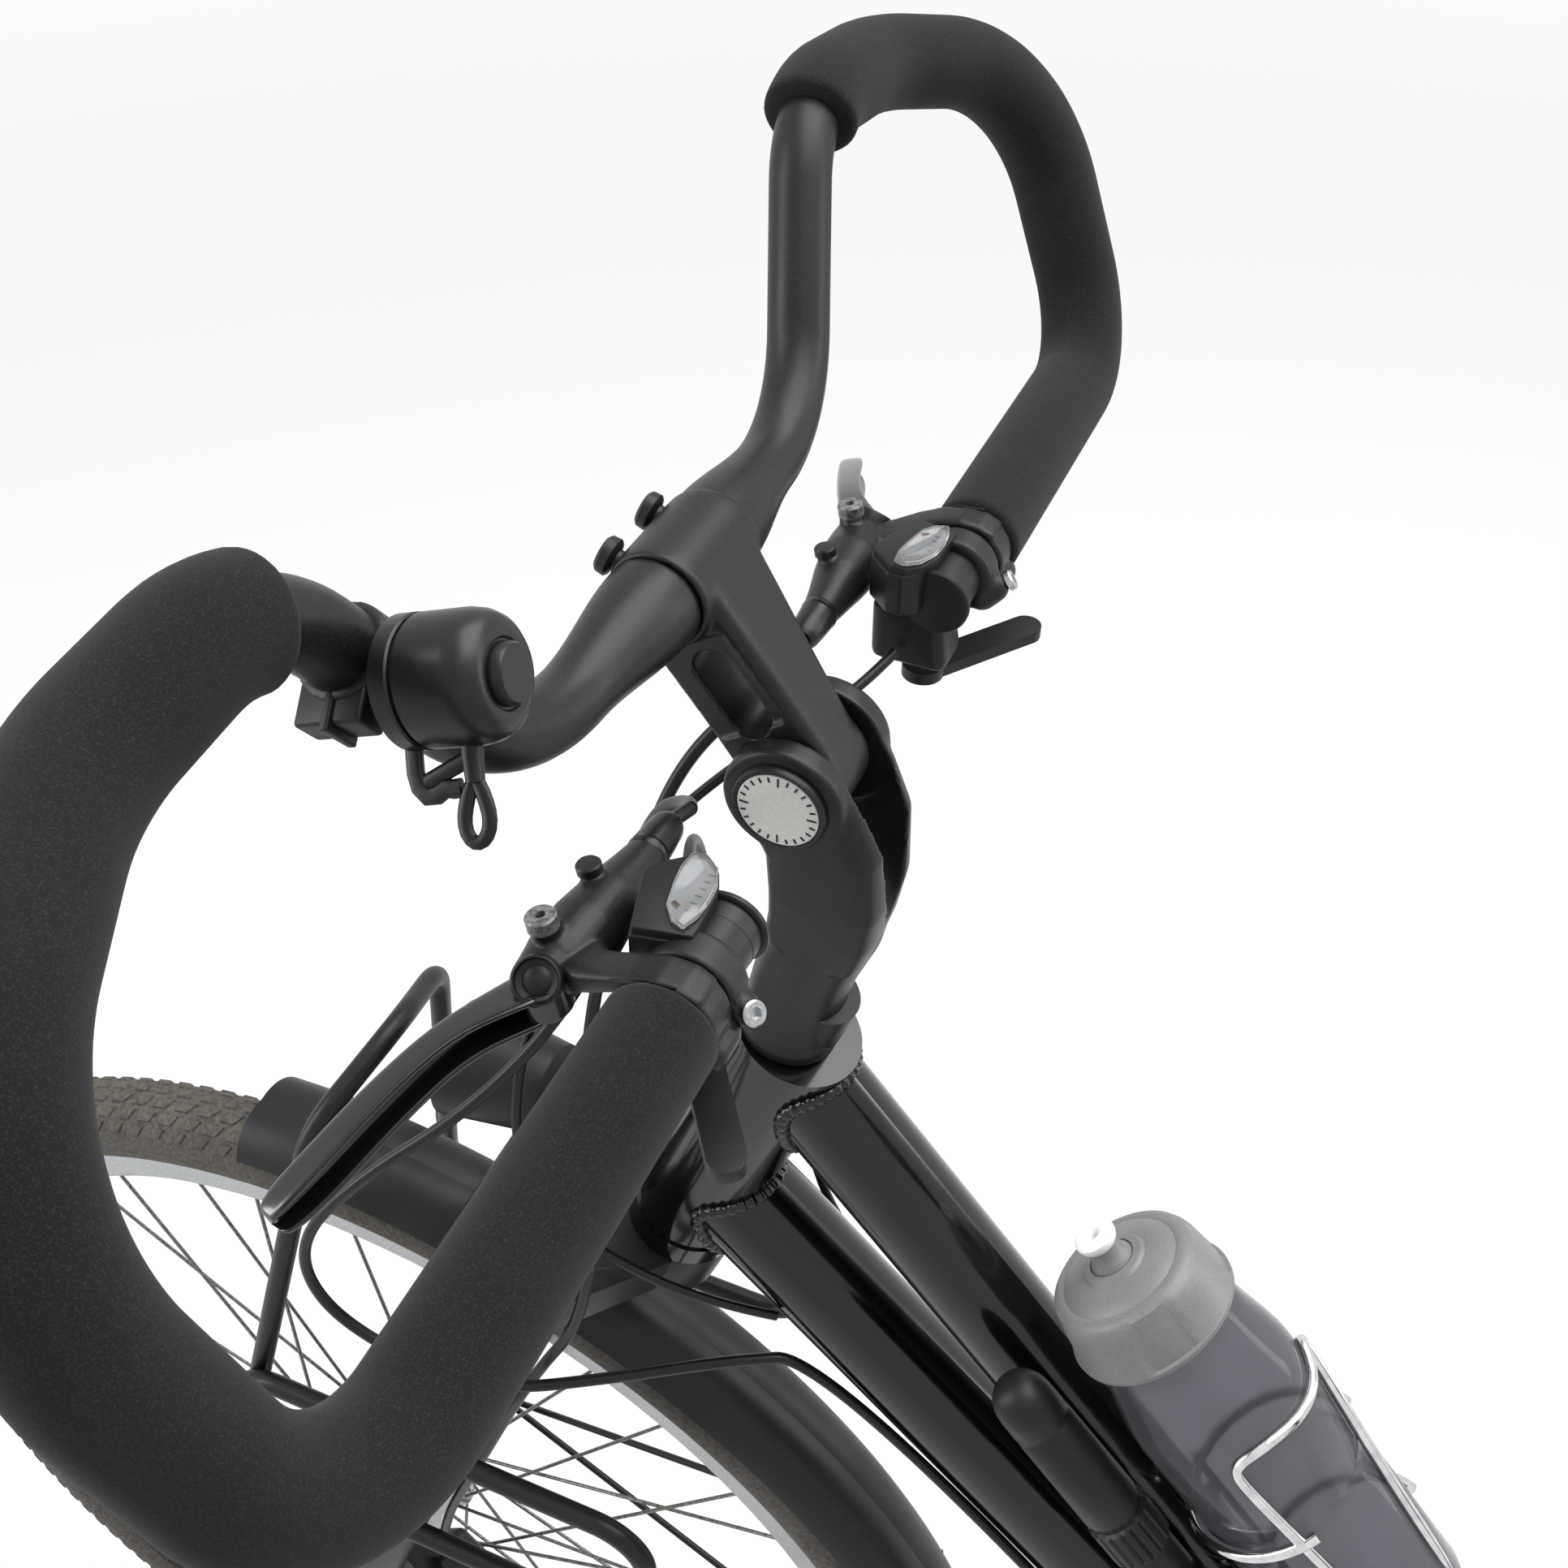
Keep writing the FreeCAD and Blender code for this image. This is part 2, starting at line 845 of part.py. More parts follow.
def head_tube():
    tube = hollow_rod(on_steer(head_bottom), on_steer(head_top), head_tube_radius, head_tube_bore)
    bore = steerer_radius + running_gap
    lower = hollow_rod(on_steer(fork_length + gap), on_steer(head_bottom), cup_radius, bore)
    upper = hollow_rod(on_steer(head_top), on_steer(head_top + upper_cup_height), cup_radius, bore)
    return group([tube, lower, upper])


def slope(degrees):
    return vec(math.cos(math.radians(degrees)), 0, -math.sin(math.radians(degrees)))


top_tube_start = on_steer(head_top - top_tube_below_head)
top_tube_along = slope(top_tube_angle)
top_tube_square = vec(-top_tube_along.z, 0, top_tube_along.x)
down_tube_start = on_steer(head_top - down_tube_below_head)
down_tube_along = slope(down_tube_angle)
down_tube_square = vec(-down_tube_along.z, 0, down_tube_along.x)


def crossing(point, heading, line_point, line_heading):
    # Where two lines in the middle plane meet.
    apart = line_point - point
    turn = heading.x * line_heading.z - heading.z * line_heading.x
    return point + heading * ((apart.x * line_heading.z - apart.z * line_heading.x) / turn)


top_tube_knee = top_tube_start + top_tube_along * top_tube_straight
top_tube_end = crossing(top_tube_knee, slope(top_tube_lower_angle), bracket, seat_up)
down_tube_knee = down_tube_start + down_tube_along * down_tube_straight


def head_core():
    tube = rod(on_steer(head_bottom), on_steer(head_top), head_tube_radius)
    cups = rod(on_steer(fork_length), on_steer(head_bottom), cup_radius)
    return tube.fuse(cups)


def seat_core():
    return rod(bracket, on_seat(seat_tube_length), seat_tube_radius)


def shell_core():
    return disc(bracket, shell_radius, -shell_length / 2, shell_length / 2)


def main_tube(points, radius, wall):
    edges = rounded_edges(points, [main_tube_bend])
    return sweep(edges, radius).cut(sweep(edges, radius - wall))


def top_tube():
    tube = main_tube([top_tube_start, top_tube_knee, top_tube_end], top_tube_radius, top_tube_wall)
    above = rod(on_steer(head_top), on_steer(head_top + head_tube_length), cup_radius + running_gap)
    return tube.cut(head_core()).cut(above).cut(seat_core())


def down_tube():
    tube = main_tube([down_tube_start, down_tube_knee, bracket], down_tube_radius, down_tube_wall)
    return tube.cut(head_core()).cut(shell_core()).cut(seat_core())


def seat_tube():
    tube = seat_core().cut(shell_core())
    shell = shell_core()
    post_floor = seat_tube_length - seat_post_insert - seat_post_travel_up
    body = fused([tube, shell])
    post_end = on_seat(seat_tube_length + overrun)
    post_room = rod(on_seat(post_floor), post_end, seat_post_radius + running_gap)
    body = body.cut(post_room)
    body = body.cut(disc(bracket, shell_bore, -shell_length, shell_length))
    top = on_seat(seat_tube_length)
    base = on_seat(seat_tube_length - seat_clamp_height)
    collar = hollow_rod(base, top, seat_clamp_radius, seat_tube_radius)
    middle = on_seat(seat_tube_length - seat_clamp_height / 2)
    behind = unit(vec(seat_up.z, 0, -seat_up.x))
    ear = middle + behind * (seat_clamp_radius + seat_clamp_bolt_radius)
    bolt = rod(ear - across * seat_clamp_ear, ear + across * seat_clamp_ear, seat_clamp_bolt_radius)
    lug = rod(ear - across * seat_clamp_ear / 2, ear + across * seat_clamp_ear / 2, seat_clamp_height / 2)
    clamp_ring = fused([collar, lug.cut(rod(base, top, seat_clamp_radius)), bolt])
    clamp_ring = clamp_ring.cut(seat_core())
    cups = []
    for side in (-1, 1):
        inner = side * (shell_length / 2 - crank_thickness)
        outer = side * shell_length / 2
        low, high = sorted((inner, outer))
        cups.append(ring(bracket, shell_bore, spindle_radius + running_gap, low, high))
    return group([body, clamp_ring] + cups)


def stay_points():
    return [
        bracket + vec(stay_root_back, stay_root_out, 0),
        bracket + vec(stay_waist_back, stay_waist_out, stay_waist_rise),
        bracket + vec(stay_flare_back, stay_flare_out, stay_flare_rise),
        rear_axle + vec(-stay_rear_before, stay_rear_out, -stay_rear_below),
        rear_axle + vec(-stay_end_before, stay_end_out, -stay_end_below),
    ]


def dropout_inner():
    return rear_hub_span / 2


def dropout(with_hanger):
    low = dropout_inner()
    high = low + dropout_thickness
    pieces = [
        disc(rear_axle, dropout_plate_radius, low, high),
        link(rear_axle, dropout_plate_radius, stay_points()[-1], dropout_arm_radius, low, high),
        link(rear_axle, dropout_plate_radius, seat_stay_points()[-1], dropout_arm_radius, low, high),
    ]
    if with_hanger:
        eye = rear_axle + vec(hanger_back, 0, -hanger_below)
        pieces.append(link(rear_axle, dropout_plate_radius, eye, hanger_radius, low, high))
    return fused(pieces).cut(disc(rear_axle, axle_radius, 0, high + overrun))


def chain_stays():
    bar = bent_rod(stay_points(), stay_bend, stay_radius)
    bar = bar.cut(shell_core())
    right = fused([bar.cut(dropout(True)), dropout(True)])
    left = fused([bar.cut(dropout(False)), dropout(False)])
    end = dropout_inner() + dropout_thickness
    axle = disc(rear_axle, axle_radius, -end - axle_nut_length, end + axle_nut_length)
    nuts = [
        ring(rear_axle, axle_nut_radius, axle_radius, end, end + axle_nut_length),
        ring(rear_axle, axle_nut_radius, axle_radius, -end - axle_nut_length, -end),
    ]
    axle = fused([axle] + nuts)
    return group([right, mirrored(left), axle, stand_bracket()])


def seat_stay_points():
    return [
        on_seat(seat_stay_top, seat_stay_top_out),
        rear_axle + vec(-seat_stay_shoulder_before, seat_stay_shoulder_out, seat_stay_shoulder_above),
        rear_axle + vec(-seat_stay_low_before, seat_stay_low_out, seat_stay_low_above),
    ]


def seat_stays():
    bar = bent_rod(seat_stay_points(), seat_stay_bend, seat_stay_radius)
    bar = bar.cut(seat_core())
    bar = bar.cut(dropout(True))
    level = rear_axle + vec(-seat_stay_shoulder_before, 0, seat_stay_shoulder_above)
    reach = seat_stay_shoulder_out
    bridge = rod(level - across * reach, level + across * reach, bridge_radius)
    return fused(both_sides(bar) + [bridge])


# Kickstand


def stand_pivot():
    share = (stay_points()[3].x - stand_place().x) / (stay_points()[3].x - stay_points()[2].x)
    height = stay_points()[3].z + (stay_points()[2].z - stay_points()[3].z) * share
    return vec(stand_place().x, 0, height - stay_radius - stand_pivot_drop)


def stand_place():
    return rear_axle - vec(stand_before_axle, 0, 0)


def stand_bracket():
    pivot = stand_pivot()
    top = pivot.z + stand_pivot_drop - running_gap
    body = block(
        vec(pivot.x - stand_bracket_length / 2, -stand_bracket_out, top - stand_bracket_height),
        vec(pivot.x + stand_bracket_length / 2, -stand_bracket_in, top),
    )
    stay = mirrored(bent_rod(stay_points(), stay_bend, stay_radius + running_gap))
    boss = disc(pivot, stand_hub_radius, -stand_bracket_out, -stand_bracket_in)
    pin = disc(pivot, stand_pin_radius, -stand_bracket_out - stand_hub_length, -stand_bracket_out)
    return fused([body, boss, pin]).cut(stay)


def kickstand_leg():
    pivot = stand_pivot()
    near = -stand_bracket_out - gap
    far = near - stand_hub_length
    hub_body = disc(pivot, stand_hub_radius, far, near)
    top = pivot + across * ((near + far) / 2)
    foot = vec(pivot.x - stand_foot_ahead, -stand_foot_out, stand_foot_height)
    leg = rod(top, foot + vec(0, 0, stand_foot_thickness), stand_leg_radius)
    lean = math.atan2(stand_foot_height, stand_foot_out)
    upright = vec(0, -math.sin(lean), math.cos(lean))
    pad = Part.makeCylinder(stand_foot_radius, stand_foot_thickness, foot, upright)
    solid = fused([hub_body, leg, pad])
    solid = solid.cut(disc(pivot, stand_pin_radius + running_gap, far - overrun, near + overrun))
    clear_side = block(
        vec(pivot.x - stand_leg_radius * 2, near, pivot.z - stand_hub_radius * 2),
        vec(pivot.x + stand_leg_radius * 2, near + stand_hub_length, pivot.z + stand_hub_radius),
    )
    return solid.cut(clear_side)


# Mudguards


def guard_shell(axle, start_degrees, end_degrees):
    half = guard_width / 2

    def place(radius, side):
        return axle + vec(radius, side, 0)

    inner_crown = guard_radius - guard_thickness
    inner_edge = half - guard_thickness
    flank_radius = guard_edge_radius + (guard_radius - guard_edge_radius) * guard_flank_share
    flank = half * math.sqrt(half_share)
    inner_flank = inner_edge * math.sqrt(half_share)
    crown = place(guard_radius, 0)
    edges = [
        Part.Arc(place(guard_edge_radius, -half), place(flank_radius, -flank), crown).toShape(),
        Part.Arc(crown, place(flank_radius, flank), place(guard_edge_radius, half)).toShape(),
        Part.LineSegment(place(guard_edge_radius, half), place(guard_edge_radius, inner_edge)).toShape(),
        Part.Arc(
            place(guard_edge_radius, inner_edge),
            place(flank_radius - guard_thickness, inner_flank),
            place(inner_crown, 0),
        ).toShape(),
        Part.Arc(
            place(inner_crown, 0),
            place(flank_radius - guard_thickness, -inner_flank),
            place(guard_edge_radius, -inner_edge),
        ).toShape(),
        Part.LineSegment(place(guard_edge_radius, -inner_edge), place(guard_edge_radius, -half)).toShape(),
    ]
    shell = Part.Face(Part.Wire(edges)).revolve(axle, across, end_degrees - start_degrees)
    return shell.rotated(axle, across, -end_degrees)


def guard_stays(axle, face_out, degrees):
    # Two wires leave one eyelet on each side and end on the guard's edge.
    root = axle + vec(guard_stay_root_back, face_out + guard_stay_lift, 0)
    end = root.y + guard_stay_radius
    eyelet = disc(vec(root.x, 0, root.z), guard_eyelet_radius, face_out + running_gap, end)
    edge_out = guard_width / 2 + guard_stay_radius + running_gap
    ends = [polar(axle, guard_edge_radius, angle, edge_out) for angle in degrees]
    return both_sides(fused([eyelet] + [rod(root, end, guard_stay_radius) for end in ends]))


def front_mudguard():
    shell = guard_shell(front_axle, front_guard_start_degrees, front_guard_end_degrees)
    return group([shell] + guard_stays(front_axle, leg_spacing / 2 + leg_radius, front_guard_stay_degrees))


def rear_mudguard():
    shell = guard_shell(rear_axle, rear_guard_start_degrees, rear_guard_end_degrees)
    face_out = dropout_inner() + dropout_thickness
    return group([shell] + guard_stays(rear_axle, face_out, rear_guard_stay_degrees))


# Fork


def leg_point(height, side):
    return on_steer(height, fork_rake, side)


def fork_crown():
    top = fork_length
    bottom = fork_length - crown_height
    half = leg_spacing / 2
    centre = rod(on_steer(bottom), on_steer(top), crown_centre_radius)
    pieces = [centre]
    sockets = []
    for side in (-half, half):
        sockets.append(rod(leg_point(bottom, side), leg_point(top, side), crown_socket_radius))
        reach = leg_point(0, side) - on_steer(0)
        square = unit(steer_up.cross(reach)) * crown_socket_radius
        corners = [on_steer(bottom) + square, leg_point(bottom, side) + square]
        corners += [leg_point(bottom, side) - square, on_steer(bottom) - square]
        face = Part.Face(Part.makePolygon(corners + corners[:1]))
        pieces.append(face.extrude(steer_up * crown_height))
    steerer = rod(on_steer(bottom), on_steer(collar_bottom + collar_height), steerer_radius)
    body = fused(pieces + sockets + [steerer])
    for side in (-half, half):
        body = body.cut(rod(leg_point(bottom - overrun, side), leg_point(top, side), stanchion_radius))
    return body


def stanchions():
    half = leg_spacing / 2
    return group([rod(leg_point(stanchion_bottom, side), leg_point(fork_length, side), stanchion_radius)
                  for side in (-half, half)])


def fork_lowers():
    half = leg_spacing / 2
    bore = stanchion_radius + running_gap
    inner_face = front_hub_span / 2
    outer_face = half + leg_radius
    pieces = []
    for side in (-half, half):
        pieces.append(rod(leg_point(0, side), leg_point(leg_top, side), leg_radius))
        seal_base = leg_top - leg_seal_height
        pieces.append(rod(leg_point(seal_base, side), leg_point(leg_top, side), leg_seal_radius))
        low, high = (inner_face, outer_face) if side > 0 else (-outer_face, -inner_face)
        pieces.append(disc(front_axle, dropout_radius, low, high))
    arch_points = [
        on_steer(arch_foot, fork_rake + arch_foot_forward, -half),
        on_steer(arch_top, fork_rake + arch_forward, -half),
        on_steer(arch_top, fork_rake + arch_forward, half),
        on_steer(arch_foot, fork_rake + arch_foot_forward, half),
    ]
    pieces.append(bent_rod(arch_points, arch_bend, arch_rod_radius))
    body = fused(pieces)
    for side in (-half, half):
        body = body.cut(rod(leg_point(leg_bore_bottom, side), leg_point(leg_top + overrun, side), bore))
    body = body.cut(disc(front_axle, axle_radius, -leg_spacing, leg_spacing))
    body = body.cut(disc(front_axle, leg_radius * 2, -inner_face, inner_face))
    end = outer_face + axle_nut_length
    axle = disc(front_axle, axle_radius, -end, end)
    nuts = [
        ring(front_axle, axle_nut_radius, axle_radius, outer_face, end),
        ring(front_axle, axle_nut_radius, axle_radius, -end, -outer_face),
    ]
    return group([body, fused([axle] + nuts)])


def caliper(axle, offset, degrees):
    # A block that straddles the rotor's edge, built over the axle and turned into place.
    half = caliper_width / 2
    low = -offset - caliper_outer_depth
    high = -offset + caliper_inner_depth
    centre = axle + vec(caliper_radius_at, 0, 0)
    body = rounded_block(
        centre + vec(-caliper_height / 2, low, -half),
        centre + vec(caliper_height / 2, high, half),
        caliper_slot,
    )
    slot_depth = rotor_radius + overrun
    slot = ring(axle, slot_depth, 0, -offset - caliper_slot / 2, -offset + caliper_slot / 2)
    return body.cut(slot).rotated(axle, across, -degrees)


def front_brake_caliper():
    body = caliper(front_axle, front_rotor_offset, front_caliper_degrees)
    side = -leg_spacing / 2
    place = polar(front_axle, caliper_radius_at, front_caliper_degrees)
    plate = link(
        place, caliper_plate_radius, leg_point(caliper_plate_at, side), caliper_plate_radius,
        -caliper_plate_high, -caliper_plate_low,
    )
    leg = rod(leg_point(0, side), leg_point(leg_top, side), leg_radius + running_gap)
    return largest(fused([body, plate]).cut(leg))


def largest(shape):
    return max(shape.Solids, key=lambda solid: solid.Volume)


def rear_brake_caliper():
    body = caliper(rear_axle, rear_rotor_offset, rear_caliper_degrees)
    stays = mirrored(bent_rod(seat_stay_points(), seat_stay_bend, seat_stay_radius + running_gap))
    return largest(body.cut(stays).cut(mirrored(dropout(False))))


def front_rack():
    sides = []
    front = front_axle_x + low_rack_front_back
    rear = front_axle_x + low_rack_rear_back
    middle = (front + rear) / 2
    loop = [
        vec(middle, low_rack_out, low_rack_top),
        vec(front, low_rack_out, low_rack_top),
        vec(front, low_rack_out, low_rack_bottom),
        vec(rear, low_rack_out, low_rack_bottom),
        vec(rear, low_rack_out, low_rack_top),
        vec(middle, low_rack_out, low_rack_top),
    ]
    sides += both_sides(bent_rod(loop, low_rack_bend, low_rack_rod_radius))
    rail_z = (low_rack_top + low_rack_bottom) / 2
    shoulder = front_axle_x + low_rack_arch_shoulder_back
    arch = [
        vec(front, low_rack_out, rail_z),
        vec(shoulder, low_rack_arch_shoulder_out, low_rack_arch_shoulder_z),
        vec(front_axle_x + low_rack_arch_top_back, 0, low_rack_arch_top),
        vec(shoulder, -low_rack_arch_shoulder_out, low_rack_arch_shoulder_z),
        vec(front, -low_rack_out, rail_z),
    ]
    sides.append(bent_rod(arch, low_rack_arch_bend, low_rack_rod_radius))
    half = leg_spacing / 2
    for height in (low_rack_top, low_rack_bottom):
        along_leg = (height - tyre_radius) / steer_up.z
        seat = leg_point(along_leg, half)
        root = vec(seat.x, half + leg_radius, height)
        boss = rod(root, vec(seat.x, low_rack_out, height), low_rack_boss_radius)
        legs = rod(leg_point(0, half), leg_point(leg_top, half), leg_radius + running_gap)
        seals = rod(leg_point(leg_top - leg_seal_height, half), leg_point(leg_top, half),
                    leg_seal_radius + running_gap)
        sides += both_sides(boss.cut(legs).cut(seals))
    return fused(sides)


def headlight():
    middle = on_steer(headlamp_height, fork_rake + headlamp_ahead)
    back = middle + vec(headlamp_length / 2, 0, 0)
    front = middle - vec(headlamp_length / 2, 0, 0)
    lamp = cone(back, front, headlamp_back_radius, headlamp_radius)
    root = on_steer(fork_length - crown_height / 2, crown_centre_radius - headlamp_bracket_radius)
    arm = rod(root, back + vec(-overrun, 0, 0), headlamp_bracket_radius)
    return fused([lamp, arm.cut(fork_crown())])


# Stem, handlebar and controls


def stem_riser():
    top = collar_bottom + collar_height
    collar = cone(on_steer(collar_bottom), on_steer(top), collar_radius, collar_neck_radius)
    shaft = rod(on_steer(top), on_steer(top + collar_height), collar_neck_radius)
    half = stem_fork_gap / 2 + stem_cheek_thickness
    places = []
    for rise, ahead in zip(stem_spine_rises, stem_spine_aheads):
        places.append(on_steer(collar_bottom + rise, ahead))
    places.append(stem_pivot)
    radii = stem_spine_radii + (stem_cheek_radius,)
    spine = []
    for low, low_radius, high, high_radius in zip(places, radii, places[1:], radii[1:]):
        spine.append(link(low, low_radius, high, high_radius, -half, half))
    reach = stem_pivot + unit(clamp - stem_pivot) * stem_pivot_rise
    room = stem_fork_gap / 2
    window = link(stem_pivot, stem_cheek_radius + overrun, reach, stem_pivot_rise / 2, -room, room)
    body = fused(spine + [collar, shaft]).cut(window)
    body = body.cut(rod(on_steer(fork_length), on_steer(top), steerer_radius))
    dial = disc(stem_pivot, stem_dial_radius, -half - stem_dial_height, -half)
    bolt = disc(stem_pivot, stem_pivot_bolt_radius, -half, half)
    return fused([body, dial, bolt])


def stem_arm():
    half_clamp = stem_clamp_width / 2
    half_arm = stem_arm_width / 2
    half_tongue = stem_tongue_width / 2
    run = clamp - stem_pivot
    shoulder = stem_pivot + unit(run) * (stem_cheek_radius + stem_arm_tip_radius)
    tongue = link(stem_pivot, stem_arm_tip_radius, clamp, stem_clamp_radius, -half_tongue, half_tongue)
    arm = link(shoulder, stem_arm_tip_radius, clamp, stem_clamp_radius, -half_arm, half_arm)
    cheek = disc(stem_pivot, stem_cheek_radius + gap + overrun, -half_clamp, half_clamp)
    arm = arm.cut(cheek)
    band = disc(clamp, stem_clamp_radius, -half_clamp, half_clamp)
    low, high = [stem_pivot + run * share for share in stem_slot_shares]
    slot = link(low, stem_slot_radius, high, stem_slot_radius, -half_clamp, half_clamp)
    body = fused([tongue, arm, band]).cut(slot)
    body = body.cut(disc(clamp, bar_centre_radius, -half_clamp - overrun, half_clamp + overrun))
    body = body.cut(disc(stem_pivot, stem_pivot_bolt_radius + running_gap, -half_clamp, half_clamp))
    bolts = []
    ahead = unit(vec(run.x, 0, 0))
    for side in (-stem_bolt_out, stem_bolt_out):
        seat = clamp + ahead * (stem_clamp_radius - stem_bolt_radius) + across * side
        bolts.append(rod(seat, seat + ahead * stem_bolt_length, stem_bolt_radius))
    body = fused([body] + bolts)
    return body.cut(disc(clamp, bar_centre_radius, -half_clamp - overrun, half_clamp + overrun))


def bar_points():
    return [
        clamp,
        clamp + vec(-bar_inner_ahead, bar_inner_out, -bar_inner_drop),
        clamp + vec(-bar_front_ahead, bar_front_out, bar_front_rise),
        clamp + vec(-bar_crest_ahead, bar_crest_out, bar_crest_rise),
        clamp + vec(bar_side_back, bar_side_out, bar_side_rise),
        clamp + vec(bar_rear_back, bar_rear_out, -bar_rear_drop),
        grip_point(bar_end_out),
    ]


bar_bends = [bar_inner_bend, bar_front_bend, bar_crest_bend, bar_side_bend, bar_rear_bend]


def grip_point(out):
    return clamp + vec(bar_rear_back, out, -bar_rear_drop)


def bar_side():
    edges = rounded_edges(bar_points(), bar_bends)
    return sweep(edges, bar_radius).cut(sweep(edges, bar_radius - bar_wall))


def handlebar():
    heading = unit(bar_points()[1] - clamp)
    swell = rod(clamp, clamp + heading * bar_centre_half, bar_centre_radius)
    taper = cone(
        clamp + heading * bar_centre_half, clamp + heading * bar_taper_end, bar_centre_radius, bar_radius,
    )
    core = rod(clamp, clamp + heading * bar_taper_end, bar_radius - bar_wall)
    sleeve = fused([swell, taper]).cut(core)
    centre = disc(clamp, bar_centre_radius, -stem_clamp_width / 2, stem_clamp_width / 2)
    centre = centre.cut(disc(clamp, bar_radius - bar_wall, -stem_clamp_width, stem_clamp_width))
    side = fused([bar_side(), sleeve])
    keep = block(
        clamp + vec(-tyre_radius, stem_clamp_width / 2, -tyre_radius),
        clamp + vec(tyre_radius, tyre_radius, tyre_radius),
    )
    side = side.common(keep)
    end = grip_point(bar_end_out)
    plug = rod(end, end - across * bar_plug_length, bar_plug_radius)
    return fused(both_sides(fused([side, plug])) + [centre])


def foam_grips():
    # The sleeve starts halfway round the front bend and ends short of the brake lever.
    points = bar_points()
    points[-1] = grip_point(foam_end_out)
    edges = rounded_edges(points, bar_bends)[5:]
    sleeve = sweep(edges, foam_radius).cut(sweep(edges, bar_radius))
    return group(both_sides(sleeve))


def lever_pivot():
    return grip_point(lever_pivot_out) - vec(lever_pivot_ahead, 0, 0)


def plan_place(ahead, out):
    return grip_point(out) - vec(ahead, 0, 0)


def brake_body():
    base = grip_point(brake_band_start)
    high = brake_band_start + brake_band_length
    pivot = lever_pivot()
    lip = lever_thickness / 2 + gap
    start = plan_place(lever_pivot_ahead, master_outer) + vec(0, 0, master_rise)
    end = plan_place(master_inner_ahead, master_inner) - vec(0, 0, master_inner_drop)
    tip = end + unit(end - start) * boot_length
    web = link(base, brake_band_radius, start, brake_eye_radius, brake_band_start, high)
    pieces = [web, rod(start, end, master_radius), cone(end, tip, master_radius, boot_radius)]
    root = plan_place(lever_pivot_ahead / 2, high - brake_band_length / 2)
    for low in (pivot.z - lip - lever_ear_thickness, pivot.z + lip):
        ear = plan_bar([root, pivot], lever_ear_radius * 2, low, low + lever_ear_thickness)
        pieces.append(ear)
    drop = lip + lever_ear_thickness
    room = Part.makeCylinder(
        lever_hub_radius + overrun, lip * 2, pivot - vec(0, 0, lip), vec(0, 0, 1),
    )
    pin = rod(pivot - vec(0, 0, drop), pivot + vec(0, 0, drop), lever_pin_radius)
    body = fused([fused(pieces).cut(room), pin])
    bore = disc(grip_point(0), bar_radius + running_gap, master_inner, foam_end_out)
    return tilted(body.cut(bore))


def tilted(shape):
    # The brake and its lever are turned down a little about the grip.
    return shape.rotated(grip_point(0), across, -brake_tilt_degrees)


def brake_bodies():
    return group(both_sides(brake_body()))


def brake_lever():
    pivot = lever_pivot()
    low = pivot.z - lever_thickness / 2
    high = pivot.z + lever_thickness / 2
    elbow = plan_place(lever_elbow_ahead, lever_elbow_out)
    middle = plan_place(lever_mid_ahead, lever_mid_out) - vec(0, 0, lever_mid_drop)
    tip = plan_place(lever_tip_ahead, lever_tip_out) - vec(0, 0, lever_tip_drop)
    root = plan_bar([pivot, elbow], lever_blade_width, low, high)
    blade = bent_rod([elbow, middle, tip], lever_blade_bend, lever_blade_radius)
    knob = Part.makeSphere(lever_blade_radius, tip)
    hub_body = Part.makeCylinder(lever_hub_radius, high - low, vec(pivot.x, pivot.y, low))
    bore = Part.makeCylinder(lever_pin_radius + running_gap, high - low, vec(pivot.x, pivot.y, low))
    return tilted(fused([root, blade, knob, hub_body]).cut(bore))


def shifter_body():
    centre = grip_point(0)
    band = disc(centre, shifter_band_radius, shifter_band_start, shifter_band_start + shifter_band_length)
    box = rounded_block(
        centre + vec(-shifter_ahead, shifter_inner, -shifter_bottom),
        centre + vec(shifter_back, shifter_outer, -shifter_top + shifter_round),
        shifter_round,
    )
    display = rounded_block(
        centre + vec(-display_ahead, shifter_inner, display_low),
        centre + vec(display_back, shifter_outer, display_high),
        display_round,
    )
    pivot = thumb_pivot()
    pin = rod(pivot, pivot + vec(0, 0, shifter_bottom - shifter_top + thumb_thickness), thumb_pin_radius)
    body = fused([band, box, display, pin])
    bore = disc(centre, bar_radius + running_gap, shifter_inner - overrun, foam_end_out)
    return body.cut(bore)


def thumb_pivot():
    low = shifter_bottom + gap + thumb_thickness
    return grip_point(thumb_pivot_out) - vec(thumb_pivot_ahead, 0, low)


def shifter_bodies():
    return group(both_sides(shifter_body()))


def shift_lever():
    pivot = thumb_pivot()
    tip = grip_point(thumb_tip_out) + vec(thumb_tip_back, 0, 0)
    high = pivot.z + thumb_thickness
    arm = plan_bar([pivot, tip], thumb_tip_radius * 2, pivot.z, high)
    hub_body = Part.makeCylinder(thumb_hub_radius, thumb_thickness, pivot)
    bore = Part.makeCylinder(thumb_pin_radius + running_gap, thumb_thickness, pivot)
    return fused([arm, hub_body]).cut(bore)


def bell_frame():
    start, end = bar_points()[1], bar_points()[2]
    share = (bell_out - start.y) / (end.y - start.y)
    seat = start + (end - start) * share
    seat = vec(seat.x, -seat.y, seat.z)
    along = unit(vec(end.x - start.x, start.y - end.y, end.z - start.z))
    lean = vec(1, bell_side_share, bell_tilt_share)
    axis = unit(lean - along * lean.dot(along))
    return seat, along, axis


